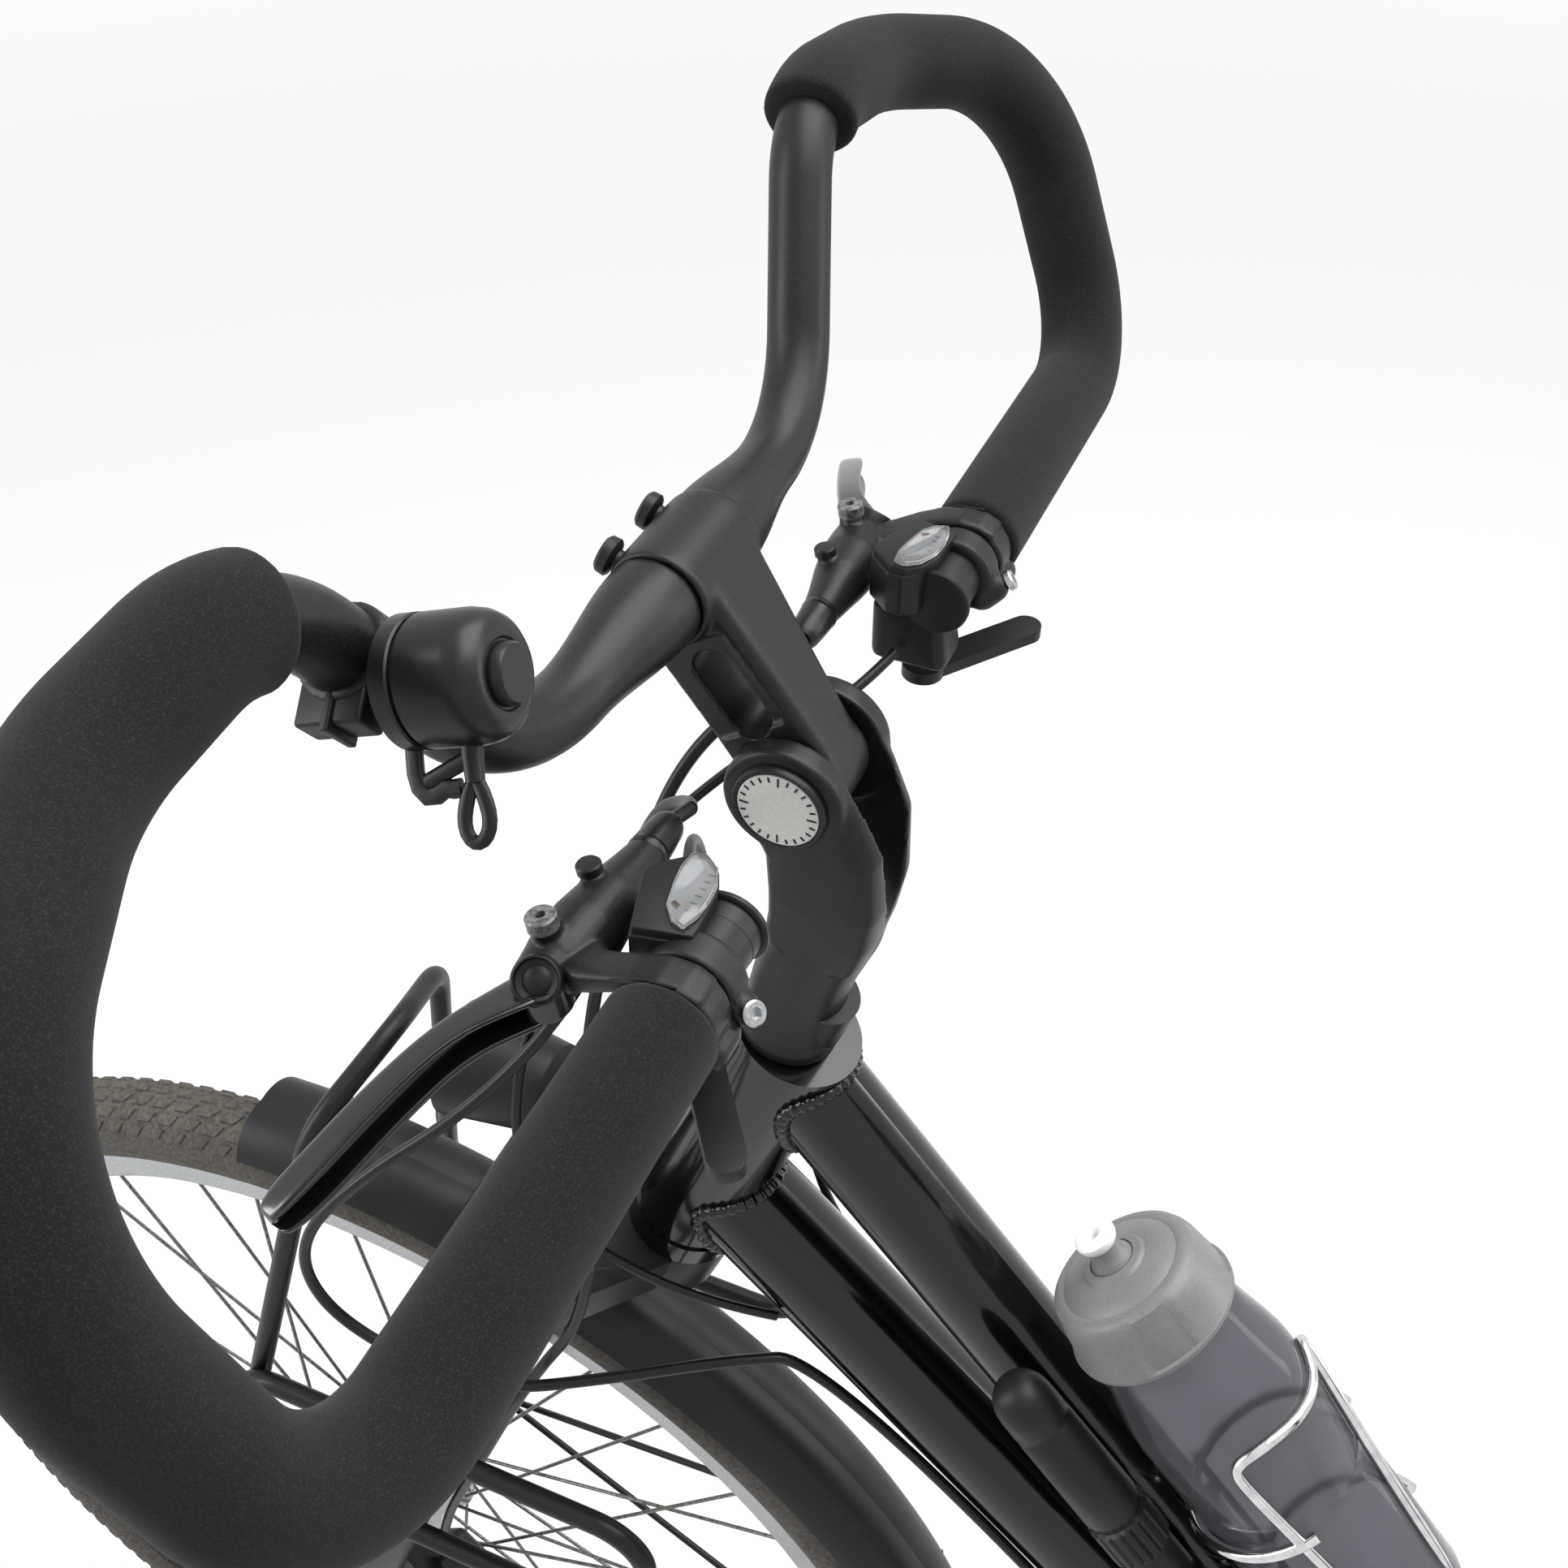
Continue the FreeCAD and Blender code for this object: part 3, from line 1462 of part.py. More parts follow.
def bell():
    seat, along, axis = bell_frame()
    half = bell_band_length / 2
    band = rod(seat - along * half, seat + along * half, bell_band_radius)
    foot = seat + axis * bell_start
    top = foot + axis * bell_height
    stub = rod(seat, foot + axis * bell_wall, bell_stub_radius)
    plate = rod(foot, foot + axis * bell_wall, bell_radius)
    dome = rod(foot, top, bell_radius).cut(rod(foot, top - axis * bell_wall, bell_radius - bell_wall))
    cap = rod(top, top + axis * bell_cap_height, bell_cap_radius)
    rim_edges = [edge for edge in dome.Edges if edge.BoundBox.Center.distanceToPoint(top) < bell_wall]
    dome = dome.makeFillet(bell_wall, rim_edges[:1])
    base = fused([band, stub, plate, dome, cap])
    return base.cut(rod(seat - along * bell_radius, seat + along * bell_radius, bar_radius + running_gap))


def striker_frame():
    seat, _, axis = bell_frame()
    down = unit(axis * axis.z - vec(0, 0, 1))
    centre = seat + axis * (bell_start + bell_height / 2)
    return centre + down * (bell_radius + striker_hub_radius + gap), down, axis


def bell_striker():
    hub_centre, down, axis = striker_frame()
    tip = hub_centre + down * striker_reach
    half = axis * (striker_thickness / 2)
    hub_body = rod(hub_centre - half, hub_centre + half, striker_hub_radius)
    arm = rod(hub_centre, tip - down * (striker_pad_radius + striker_pad_hole) / 2, striker_arm_radius)
    pad = hollow_rod(tip - half, tip + half, striker_pad_radius, striker_pad_hole)
    return fused([hub_body, arm, pad])


# Seat


def seat_post_top():
    return on_seat(seat_tube_length + seat_post_rise)


def seatpost():
    foot = on_seat(seat_tube_length - seat_post_insert)
    tube = hollow_rod(foot, seat_post_top(), seat_post_radius, seat_post_radius - seat_post_wall)
    return tube


def saddle_base_z():
    return seat_post_top().z + saddle_above_post


def saddle_section(station, width_share, crown_share):
    half = saddle_nose_width / 2 * width_share
    low = saddle_base_z() + saddle_shell_height
    high = low + saddle_pad_height * crown_share
    x = seat_post_top().x - saddle_nose_ahead + saddle_length * station
    inset = half * saddle_drawn_in_share
    edge = low + (high - low) * saddle_edge_share
    bulge = low + (high - low) * saddle_edge_share * saddle_bulge_share
    left_low = vec(x, -inset, low)
    right_low = vec(x, inset, low)
    left_high = vec(x, -inset, edge)
    right_high = vec(x, inset, edge)
    return Part.Wire([
        Part.LineSegment(left_low, right_low).toShape(),
        Part.Arc(right_low, vec(x, half, bulge), right_high).toShape(),
        Part.Arc(right_high, vec(x, 0, high), left_high).toShape(),
        Part.Arc(left_high, vec(x, -half, bulge), left_low).toShape(),
    ])


def saddle_pad():
    wires = [saddle_section(*row) for row in
             zip(saddle_station_shares, saddle_width_shares, saddle_crown_shares)]
    return Part.makeLoft(wires, True, False)


def saddle_frame():
    outline = []
    for station, share in zip(saddle_station_shares, saddle_width_shares):
        x = seat_post_top().x - saddle_nose_ahead + saddle_length * station
        outline.append(vec(x, saddle_nose_width / 2 * share * saddle_drawn_in_share, saddle_base_z()))
    left = [vec(point.x, -point.y, point.z) for point in reversed(outline)]
    shell = Part.Face(Part.makePolygon(outline + left + outline[:1]))
    shell = shell.extrude(vec(0, 0, saddle_shell_height))
    top = saddle_base_z()
    low = top - saddle_rail_drop
    front = seat_post_top().x - saddle_nose_ahead
    rail = [
        vec(front + saddle_nose_width, 0, top),
        vec(front + saddle_nose_width * 2, saddle_rail_out, low),
        vec(front + saddle_length - saddle_nose_width * 2, saddle_rail_out, low),
        vec(front + saddle_length - saddle_nose_width, saddle_rail_out * 2, top),
    ]
    rails = both_sides(bent_rod(rail, saddle_rail_bend, saddle_rail_radius))
    keep_low = block(
        vec(front, -saddle_width, low - saddle_rail_drop), vec(front + saddle_length, saddle_width, top),
    )
    rails = [piece.common(keep_low) for piece in rails]
    post_end = seat_post_top()
    head = disc(vec(post_end.x, 0, low), saddle_clamp_radius, -saddle_clamp_height, saddle_clamp_height)
    head = head.cut(rod(on_seat(seat_tube_length), post_end, seat_post_radius + gap))
    return fused([shell, head] + rails)


# Drive train


def pitch_radius(teeth):
    return chain_pitch / (2 * math.sin(math.pi / teeth))


def sprocket(centre, teeth, bore, low, high):
    # A toothed disc: each tooth rises from two root points to a flat tip.
    radius = pitch_radius(teeth)
    root = radius - tooth_root_drop
    tip = radius + tooth_height
    step = full_turn / teeth
    points = []
    for index in range(teeth):
        angle = step * index
        for share, reach in ((-tooth_root_share, root), (-tooth_tip_share, tip),
                             (tooth_tip_share, tip), (tooth_root_share, root)):
            points.append(polar(centre, reach, angle + step * share, low))
    plate = Part.Face(Part.makePolygon(points + points[:1])).extrude(across * (high - low))
    return plate.cut(disc(centre, bore, low - overrun, high + overrun))


def ring_plane(index):
    return chain_line + ring_spacing * (index - 1)


def chainrings():
    half = ring_thickness / 2
    rings = [
        sprocket(bracket, teeth, bore, ring_plane(index) - half, ring_plane(index) + half)
        for index, (teeth, bore) in enumerate(zip(ring_teeth, ring_inner_radii))
    ]
    bolts = []
    for arm in range(spider_arms):
        place = polar(bracket, ring_bolt_circle, full_turn / spider_arms * arm)
        bolts.append(disc(place, ring_bolt_radius, ring_plane(0) + half, ring_plane(1) + half))
    return group(rings + bolts)


def crank_arms():
    half = ring_thickness / 2
    spider_low = ring_plane(1) + half
    spider_high = ring_plane(2) - half
    outer = crank_eye_offset + crank_thickness
    spindle = disc(bracket, spindle_radius, -crank_inner_offset, spider_low)
    core = disc(bracket, spider_hub_radius, spider_low, crank_inner_offset + crank_thickness)
    pieces = [spindle, core]
    for arm in range(spider_arms):
        end = polar(bracket, spider_radius - spider_arm_radius, full_turn / spider_arms * arm)
        pieces.append(link(bracket, spider_arm_radius, end, spider_arm_radius, spider_low, spider_high))
    for side, heading in ((1, -1), (-1, 1)):
        eye = bracket + vec(heading * crank_length, 0, 0)
        low, high = sorted((side * crank_inner_offset, side * (crank_inner_offset + crank_thickness)))
        eye_low, eye_high = sorted((side * crank_inner_offset, side * outer))
        pieces.append(link(bracket, crank_hub_radius, eye, crank_end_radius, low, high))
        pieces.append(disc(eye, crank_end_radius, eye_low, eye_high))
        start, end = sorted((side * outer, side * (outer + pedal_axle_length)))
        pieces.append(disc(eye, pedal_axle_radius, start, end))
    return fused(pieces)


def pedal(side, heading):
    eye = bracket + vec(heading * crank_length, 0, 0)
    near = crank_eye_offset + crank_thickness + pedal_side_gap
    low, high = sorted((side * near, side * (near + pedal_length)))
    half_depth = pedal_depth / 2
    half_height = pedal_height / 2
    frame = block(eye + vec(-half_depth, low, -half_height), eye + vec(half_depth, high, half_height))
    for sign in (-1, 1):
        window_low, window_high = sorted((sign * pedal_tube_radius, sign * (half_depth - pedal_rim)))
        window = block(
            eye + vec(window_low, low + pedal_rim, -pedal_height),
            eye + vec(window_high, high - pedal_rim, pedal_height),
        )
        frame = frame.cut(window)
    tube = disc(eye, pedal_tube_radius, low, high)
    bore = disc(eye, pedal_axle_radius + running_gap, low - overrun, high + overrun)
    return fused([frame, tube]).cut(bore)


def cassette():
    bore = freewheel_radius + running_gap
    half = cog_thickness / 2
    first = chain_line - cog_spacing * chain_cog_index
    pieces = []
    for index, teeth in enumerate(cog_teeth):
        plane = first + cog_spacing * index
        pieces.append(sprocket(rear_axle, teeth, bore, plane - half, plane + half))
    last = first + cog_spacing * (len(cog_teeth) - 1)
    carrier_end = freewheel_end - cassette_lockring_length
    carrier = ring(rear_axle, cassette_carrier_radius, bore, first, min(last, carrier_end))
    return fused(pieces + [carrier.cut(rod(rear_axle, rear_axle + across, bore))])


def guide_centre():
    return rear_axle + vec(-guide_pulley_ahead, chain_line, -guide_pulley_below)


def tension_centre():
    return rear_axle + vec(-tension_pulley_ahead, chain_line, -tension_pulley_below)


def pulley(centre):
    middle = vec(centre.x, 0, centre.z)
    half = pulley_thickness / 2
    bore = pulley_bolt_radius + running_gap
    half_tooth = ring_thickness / 2
    toothed = sprocket(middle, pulley_teeth, bore, chain_line - half_tooth, chain_line + half_tooth)
    core = ring(middle, cage_plate_radius, bore, chain_line - half, chain_line + half)
    return fused([toothed, core])


def chain_wheels(offset):
    # Each wheel's centre, its direction of turn and its radius moved out or in by the offset.
    places = [
        (bracket, 1, ring_teeth[1]),
        (tension_centre(), 1, pulley_teeth),
        (guide_centre(), -1, pulley_teeth),
        (rear_axle, 1, cog_teeth[chain_cog_index]),
    ]
    return [(vec(centre.x, 0, centre.z), turn, pitch_radius(teeth) + turn * offset)
            for centre, turn, teeth in places]


def belt_spans(wheels):
    # Straight spans between wheels; a wheel of opposite turn is met by the crossed tangent.
    spans = []
    for (start, turn, radius), (end, next_turn, next_radius) in zip(wheels, wheels[1:] + wheels[:1]):
        run = end - start
        along = unit(run)
        side = vec(along.z, 0, -along.x)
        lean = (turn * radius - next_turn * next_radius) / run.Length
        normal = along * lean + side * math.sqrt(1 - lean * lean)
        spans.append((start + normal * (turn * radius), end + normal * (next_turn * next_radius)))
    return spans


def belt_wire(offset, side):
    wheels = chain_wheels(offset)
    spans = belt_spans(wheels)
    edges = []
    lift = across * side
    for index, (start, end) in enumerate(spans):
        centre, turn, radius = wheels[(index + 1) % len(wheels)]
        leave = spans[(index + 1) % len(spans)][0]
        edges.append(Part.LineSegment(start + lift, end + lift).toShape())
        first = math.atan2(end.z - centre.z, end.x - centre.x)
        last = math.atan2(leave.z - centre.z, leave.x - centre.x)
        while turn * (last - first) < 0:
            last += turn * 2 * math.pi
        middle = polar(centre, radius, math.degrees((first + last) / 2))
        edges.append(Part.Arc(end + lift, middle + lift, leave + lift).toShape())
    return Part.Wire(edges)


def chain():
    half = chain_plate_height / 2
    pieces = []
    for low, high in ((chain_plate_inner, chain_plate_outer), (-chain_plate_outer, -chain_plate_inner)):
        outer = Part.Face(belt_wire(half, chain_line + low))
        inner = Part.Face(belt_wire(-half, chain_line + low))
        pieces.append(outer.cut(inner).extrude(across * (high - low)))
    rollers = []
    for start, end in belt_spans(chain_wheels(0)):
        run = end - start
        count = int((run.Length - chain_roller_margin * 2) / chain_pitch) + 1
        margin = (run.Length - (count - 1) * chain_pitch) / 2
        for index in range(count):
            place = start + unit(run) * (margin + index * chain_pitch)
            rollers.append(disc(place, chain_roller_radius, chain_line - chain_plate_inner,
                                chain_line + chain_plate_inner))
    return fused(pieces + rollers)


def rear_derailleur():
    guide = guide_centre()
    tension = tension_centre()
    inner_low = chain_line - cage_half_gap - cage_plate_thickness
    inner_high = chain_line - cage_half_gap
    outer_low = chain_line + cage_half_gap
    outer_high = outer_low + cage_plate_thickness
    eye = rear_axle + vec(hanger_back, 0, -hanger_below)
    pieces = [
        link(guide, cage_plate_radius, tension, cage_plate_radius, inner_low, inner_high),
        link(guide, cage_plate_radius, tension, cage_plate_radius, outer_low, outer_high),
        disc(vec(guide.x, 0, guide.z), pulley_bolt_radius, inner_low, outer_high),
        disc(vec(tension.x, 0, tension.z), pulley_bolt_radius, inner_low, outer_high),
        link(guide, derailleur_body_radius, eye, derailleur_body_radius, outer_high, derailleur_body_end),
        disc(eye, derailleur_body_radius, outer_high, dropout_inner()),
    ]
    return fused(pieces)


def front_derailleur():
    pieces = []
    for low in (chain_line - front_cage_half_gap - front_cage_plate, chain_line + front_cage_half_gap):
        high = low + front_cage_plate
        plate = revolve(
            bracket,
            [(front_cage_inner_radius, low), (front_cage_outer_radius, low),
             (front_cage_outer_radius, high), (front_cage_inner_radius, high)],
            -front_cage_end_degrees,
            front_cage_end_degrees - front_cage_start_degrees,
        )
        pieces.append(plate)
    low = chain_line - front_cage_half_gap - front_cage_plate
    high = chain_line + front_cage_half_gap + front_cage_plate
    inner = front_cage_outer_radius - front_cage_plate
    outer = front_cage_outer_radius + front_cage_plate
    crown = revolve(
        bracket,
        [(inner, low), (outer, low), (outer, high), (inner, high)],
        -front_cage_end_degrees,
        front_cage_end_degrees - front_cage_start_degrees,
    )
    pieces.append(crown)
    base = on_seat(front_band_at - front_band_height / 2)
    top = on_seat(front_band_at + front_band_height / 2)
    band = rod(base, top, seat_tube_radius + front_band_wall)
    middle = (front_cage_start_degrees + front_cage_end_degrees) / 2
    reach = polar(bracket, front_cage_outer_radius + front_link_radius, middle, chain_line)
    arm = rod(on_seat(front_band_at, seat_tube_radius), reach, front_link_radius)
    pieces += [band, arm, Part.makeSphere(front_link_radius, reach)]
    return fused(pieces).cut(seat_core())


# Rack and tail lamp


def rear_rack():
    nose_out = seat_stay_shoulder_out + seat_stay_radius + rack_rod_radius + running_gap
    nose = rear_axle + vec(-seat_stay_shoulder_before, nose_out, seat_stay_shoulder_above)
    half_rail = [
        nose,
        vec(rack_front, rack_half_width, rack_height),
        vec(rack_rear, rack_half_width, rack_height),
    ]
    other_half = [vec(point.x, -point.y, point.z) for point in reversed(half_rail)]
    pieces = [bent_rod(half_rail + other_half, rack_bend, rack_rod_radius)]
    for place in rack_cross_places:
        left = vec(place, -rack_half_width, rack_height)
        right = vec(place, rack_half_width, rack_height)
        pieces.append(rod(left, right, rack_brace_radius))
    lug_start = dropout_inner() + dropout_thickness + running_gap
    foot = rear_axle + vec(0, rack_foot_out, rack_foot_rise)
    for end in (rack_strut_fore, rack_strut_aft):
        pieces += both_sides(rod(foot, vec(end, rack_half_width, rack_height), rack_brace_radius))
    lug_root = rear_axle + vec(0, lug_start, rack_foot_rise)
    lug = rod(lug_root, foot + across * rack_rod_radius, rack_rod_radius)
    pieces += both_sides(lug)
    return fused(pieces)


def tail_light():
    front = rack_rear + rack_rod_radius + running_gap
    top = rack_height + tail_lamp_height - tail_lamp_drop
    body = block(
        vec(front, -tail_lamp_width / 2, top - tail_lamp_height),
        vec(front + tail_lamp_depth, tail_lamp_width / 2, top),
    )
    edges = [edge for edge in body.Edges
             if abs(edge.tangentAt(edge.FirstParameter).x) > half_share]
    return body.makeFillet(tail_lamp_round, edges)


# Bottle, cage and pump


def beside_top_tube(along, rise, side=0.0):
    return top_tube_start + top_tube_along * along + top_tube_square * rise + across * side


def bottle():
    # The axis runs down the tube: the cap's end is nearest the head tube.
    top = bottle_start + bottle_shoulder

    def place(along):
        return beside_top_tube(along, bottle_offset)

    body = rod(place(top), place(top + bottle_length), bottle_radius)
    shoulder = cone(place(bottle_start), place(top), bottle_neck_radius, bottle_radius)
    neck = rod(place(bottle_start - bottle_neck_height), place(bottle_start), bottle_neck_radius)
    hollow = rod(place(top), place(top + bottle_length - bottle_wall), bottle_radius - bottle_wall)
    throat = rod(place(bottle_start - bottle_neck_height), place(top), bottle_neck_radius - bottle_wall * 2)
    return fused([body, shoulder, neck]).cut(hollow).cut(throat)


def cap_end():
    return bottle_start - bottle_cap_height - bottle_cap_crown


def bottle_cap():
    def place(along):
        return beside_top_tube(along, bottle_offset)

    brow = place(bottle_start - bottle_cap_height)
    skirt = rod(brow, place(bottle_start - running_gap), bottle_cap_radius)
    dome = cone(brow, place(cap_end()), bottle_cap_radius, bottle_cap_top_radius)
    stem = rod(place(cap_end()), place(cap_end() - valve_stem_height), valve_stem_radius)
    floor = place(bottle_start - bottle_neck_height - gap)
    room = rod(floor, place(bottle_start), bottle_neck_radius + gap)
    return fused([skirt, dome, stem]).cut(room)


def bottle_valve():
    def place(along):
        return beside_top_tube(along, bottle_offset)

    seat = cap_end() - gap
    body = rod(place(seat), place(seat - valve_height), valve_radius)
    end = place(seat - valve_stem_height - gap)
    return body.cut(rod(place(seat + overrun), end, valve_stem_radius + gap))


def bottle_cage():
    # A wire clasp and a foot hold the bottle; two spines run between them on the tube's side.
    out = bottle_radius + cage_wire_radius + gap
    base = bottle_start + bottle_shoulder + bottle_length + cage_wire_radius + gap
    seat = bottle_offset - math.sqrt(out ** 2 - cage_spine_out ** 2)

    def around(along, degrees):
        angle = math.radians(degrees)
        return beside_top_tube(along, bottle_offset - out * math.cos(angle), out * math.sin(angle))

    pieces = []
    for along in (base - cage_reach, base - cage_reach * cage_low_clasp_share):
        places = [around(along, cage_clasp_degrees * share) for share in cage_arc_shares]
        arcs = [Part.Arc(*places[:3]).toShape(), Part.Arc(*places[2:]).toShape()]
        pieces.append(sweep(arcs, cage_wire_radius))
    near = base - cage_reach - cage_wire_radius * 2
    spine = [
        beside_top_tube(near, seat, -cage_spine_out),
        beside_top_tube(base, seat, -cage_spine_out),
        beside_top_tube(base, bottle_offset, -cage_spine_out),
        beside_top_tube(base, bottle_offset, cage_spine_out),
        beside_top_tube(base, seat, cage_spine_out),
        beside_top_tube(near, seat, cage_spine_out),
    ]
    pieces.append(bent_rod(spine, cage_bend, cage_spine_radius))
    for along in cage_boss_places:
        low = beside_top_tube(along, top_tube_radius + running_gap)
        high = beside_top_tube(along, seat)
        pieces.append(rod(low, high, cage_boss_radius))
    return fused(pieces)


def pump():
    def place(along):
        return beside_top_tube(along, pump_rise, -pump_side)

    handle = pump_length * pump_handle_share
    start = pump_start + pump_radius
    dome = Part.makeSphere(pump_radius, place(start))
    grip = rod(place(start), place(pump_start + handle), pump_radius)
    barrel = rod(place(pump_start + handle), place(pump_start + pump_length), pump_radius - pump_groove)
    collar_start = pump_start + handle
    collar = rod(place(collar_start + pump_groove), place(collar_start + pump_groove + pump_collar_length),
                 pump_collar_radius)
    body = fused([dome, grip, barrel, collar])
    near = place(pump_bracket_at)
    far = place(pump_bracket_at + pump_bracket_length)
    bore = pump_radius - pump_groove
    sleeve = hollow_rod(near, far, bore + pump_bracket_wall, bore)
    middle = pump_bracket_at + pump_bracket_length / 2
    boss = beside_top_tube(middle, 0)
    strap = rod(boss, place(middle), pump_bracket_length / 2)
    tube_room = rod(top_tube_start, top_tube_knee, top_tube_radius + running_gap)
    strap = strap.cut(rod(near, far, bore)).cut(tube_room)
    return group([body, fused([sleeve, strap])])


# Hoses and cables, each along its own hand-laid route


def cord(name, points, radius):
    bends = []
    for before, corner, after in zip(points, points[1:], points[2:]):
        shorter = min((corner - before).Length, (after - corner).Length)
        turn = math.pi - (before - corner).getAngle(after - corner)
        bends.append(cord_bend_share * shorter / math.tan(turn / 2))
    edges = rounded_edges(points, bends)
    solid = sweep(edges, radius)
    length = sum(edge.Length for edge in edges)
    print(name, "length", round(length), "radii", [round(bend) for bend in bends],
          "volume share", round(solid.Volume / (math.pi * radius ** 2 * length), 4))
    return solid


def beside_down_tube(along, side):
    # A point just off the tube's lower flank; past the knee the run follows the lower part.
    straight = min(along, down_tube_straight)
    lower = unit(bracket - down_tube_knee)
    square = vec(-lower.z, 0, lower.x) if along > down_tube_straight else down_tube_square
    point = down_tube_start + down_tube_along * straight + lower * (along - straight)
    reach = down_tube_radius + hose_radius + gap
    return point - square * (reach * cord_low_share) + across * (side * reach * cord_side_share)


def route(points):
    return [vec(*point) for point in points]


def front_brake_hose():
    return cord("front_brake_hose", route(front_hose_route), hose_radius)


def rear_brake_hose():
    tube = [beside_down_tube(along, -1) for along in rear_hose_places]
    points = route(rear_hose_route) + tube + route(rear_hose_stay_route)
    return cord("rear_brake_hose", points, hose_radius)


def gear_cable():
    tube = [beside_down_tube(along, 1) for along in gear_cable_places]
    points = route(gear_cable_route) + tube + route(gear_cable_end_route)
    return cord("gear_cable", points, cable_radius)


def shift_cable():
    points = route(shift_cable_route) + [beside_down_tube(shift_cable_end, -1)]
    return cord("shift_cable", points, cable_radius)


def control_cables():
    return group([rear_brake_hose(), gear_cable(), shift_cable()])


# Write one file for each piece


def pieces():
    return {
        "head_tube": head_tube(),
        "top_tube": top_tube(),
        "down_tube": down_tube(),
        "seat_tube": seat_tube(),
        "chain_stays": chain_stays(),
        "seat_stays": seat_stays(),
        "rear_mudguard": rear_mudguard(),
        "rear_rack": rear_rack(),
        "tail_light": tail_light(),
        "bottle_cage": bottle_cage(),
        "bottle": bottle(),
        "bottle_cap": bottle_cap(),
        "bottle_valve": bottle_valve(),
        "pump": pump(),
        "chain": chain(),
        "rear_derailleur": rear_derailleur(),
        "front_derailleur": front_derailleur(),
        "rear_brake_caliper": rear_brake_caliper(),
        "control_cables": control_cables(),
        "seatpost": seatpost(),
        "saddle_frame": saddle_frame(),
        "saddle_pad": saddle_pad(),
        "crank_arms": crank_arms(),
        "chainrings": chainrings(),
        "pedal_left": pedal(-1, 1),
        "pedal_right": pedal(1, -1),
        "cassette": cassette(),
        "guide_pulley": pulley(guide_centre()),
        "tension_pulley": pulley(tension_centre()),
        "rear_tyre": tyre(rear_axle),
        "rear_rim": rim(rear_axle),
        "rear_spokes": spokes(rear_axle, rear_left_flange, rear_right_flange, rear_flange_radius),
        "rear_hub": rear_hub(),
        "rear_rotor": rotor(rear_axle, rear_rotor_offset),
        "kickstand_leg": kickstand_leg(),
        "fork_crown": fork_crown(),
        "stanchions": stanchions(),
        "stem_riser": stem_riser(),
        "headlight": headlight(),
        "stem_arm": stem_arm(),
        "handlebar": handlebar(),
        "foam_grips": foam_grips(),
        "brake_bodies": brake_bodies(),
        "shifter_bodies": shifter_bodies(),
        "bell": bell(),
        "bell_striker": bell_striker(),
        "brake_lever_right": brake_lever(),
        "brake_lever_left": mirrored(brake_lever()),
        "shift_lever_right": shift_lever(),
        "shift_lever_left": mirrored(shift_lever()),
        "fork_lowers": fork_lowers(),
        "front_mudguard": front_mudguard(),
        "front_rack": front_rack(),
        "front_brake_caliper": front_brake_caliper(),
        "front_tyre": tyre(front_axle),
        "front_rim": rim(front_axle),
        "front_spokes": spokes(front_axle, front_flange_offset, front_flange_offset, front_flange_radius),
        "front_hub": front_hub(),
        "front_rotor": rotor(front_axle, front_rotor_offset),
        "front_brake_hose": front_brake_hose(),
    }


os.makedirs("parts", exist_ok=True)
for name, shape in pieces().items():
    print(name, len(shape.Solids), shape.isValid(), round(shape.Volume))
    shape.exportStep("parts/" + name + ".step")
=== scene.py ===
"""Hybrid bicycle: finishes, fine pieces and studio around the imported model."""
import json
import math

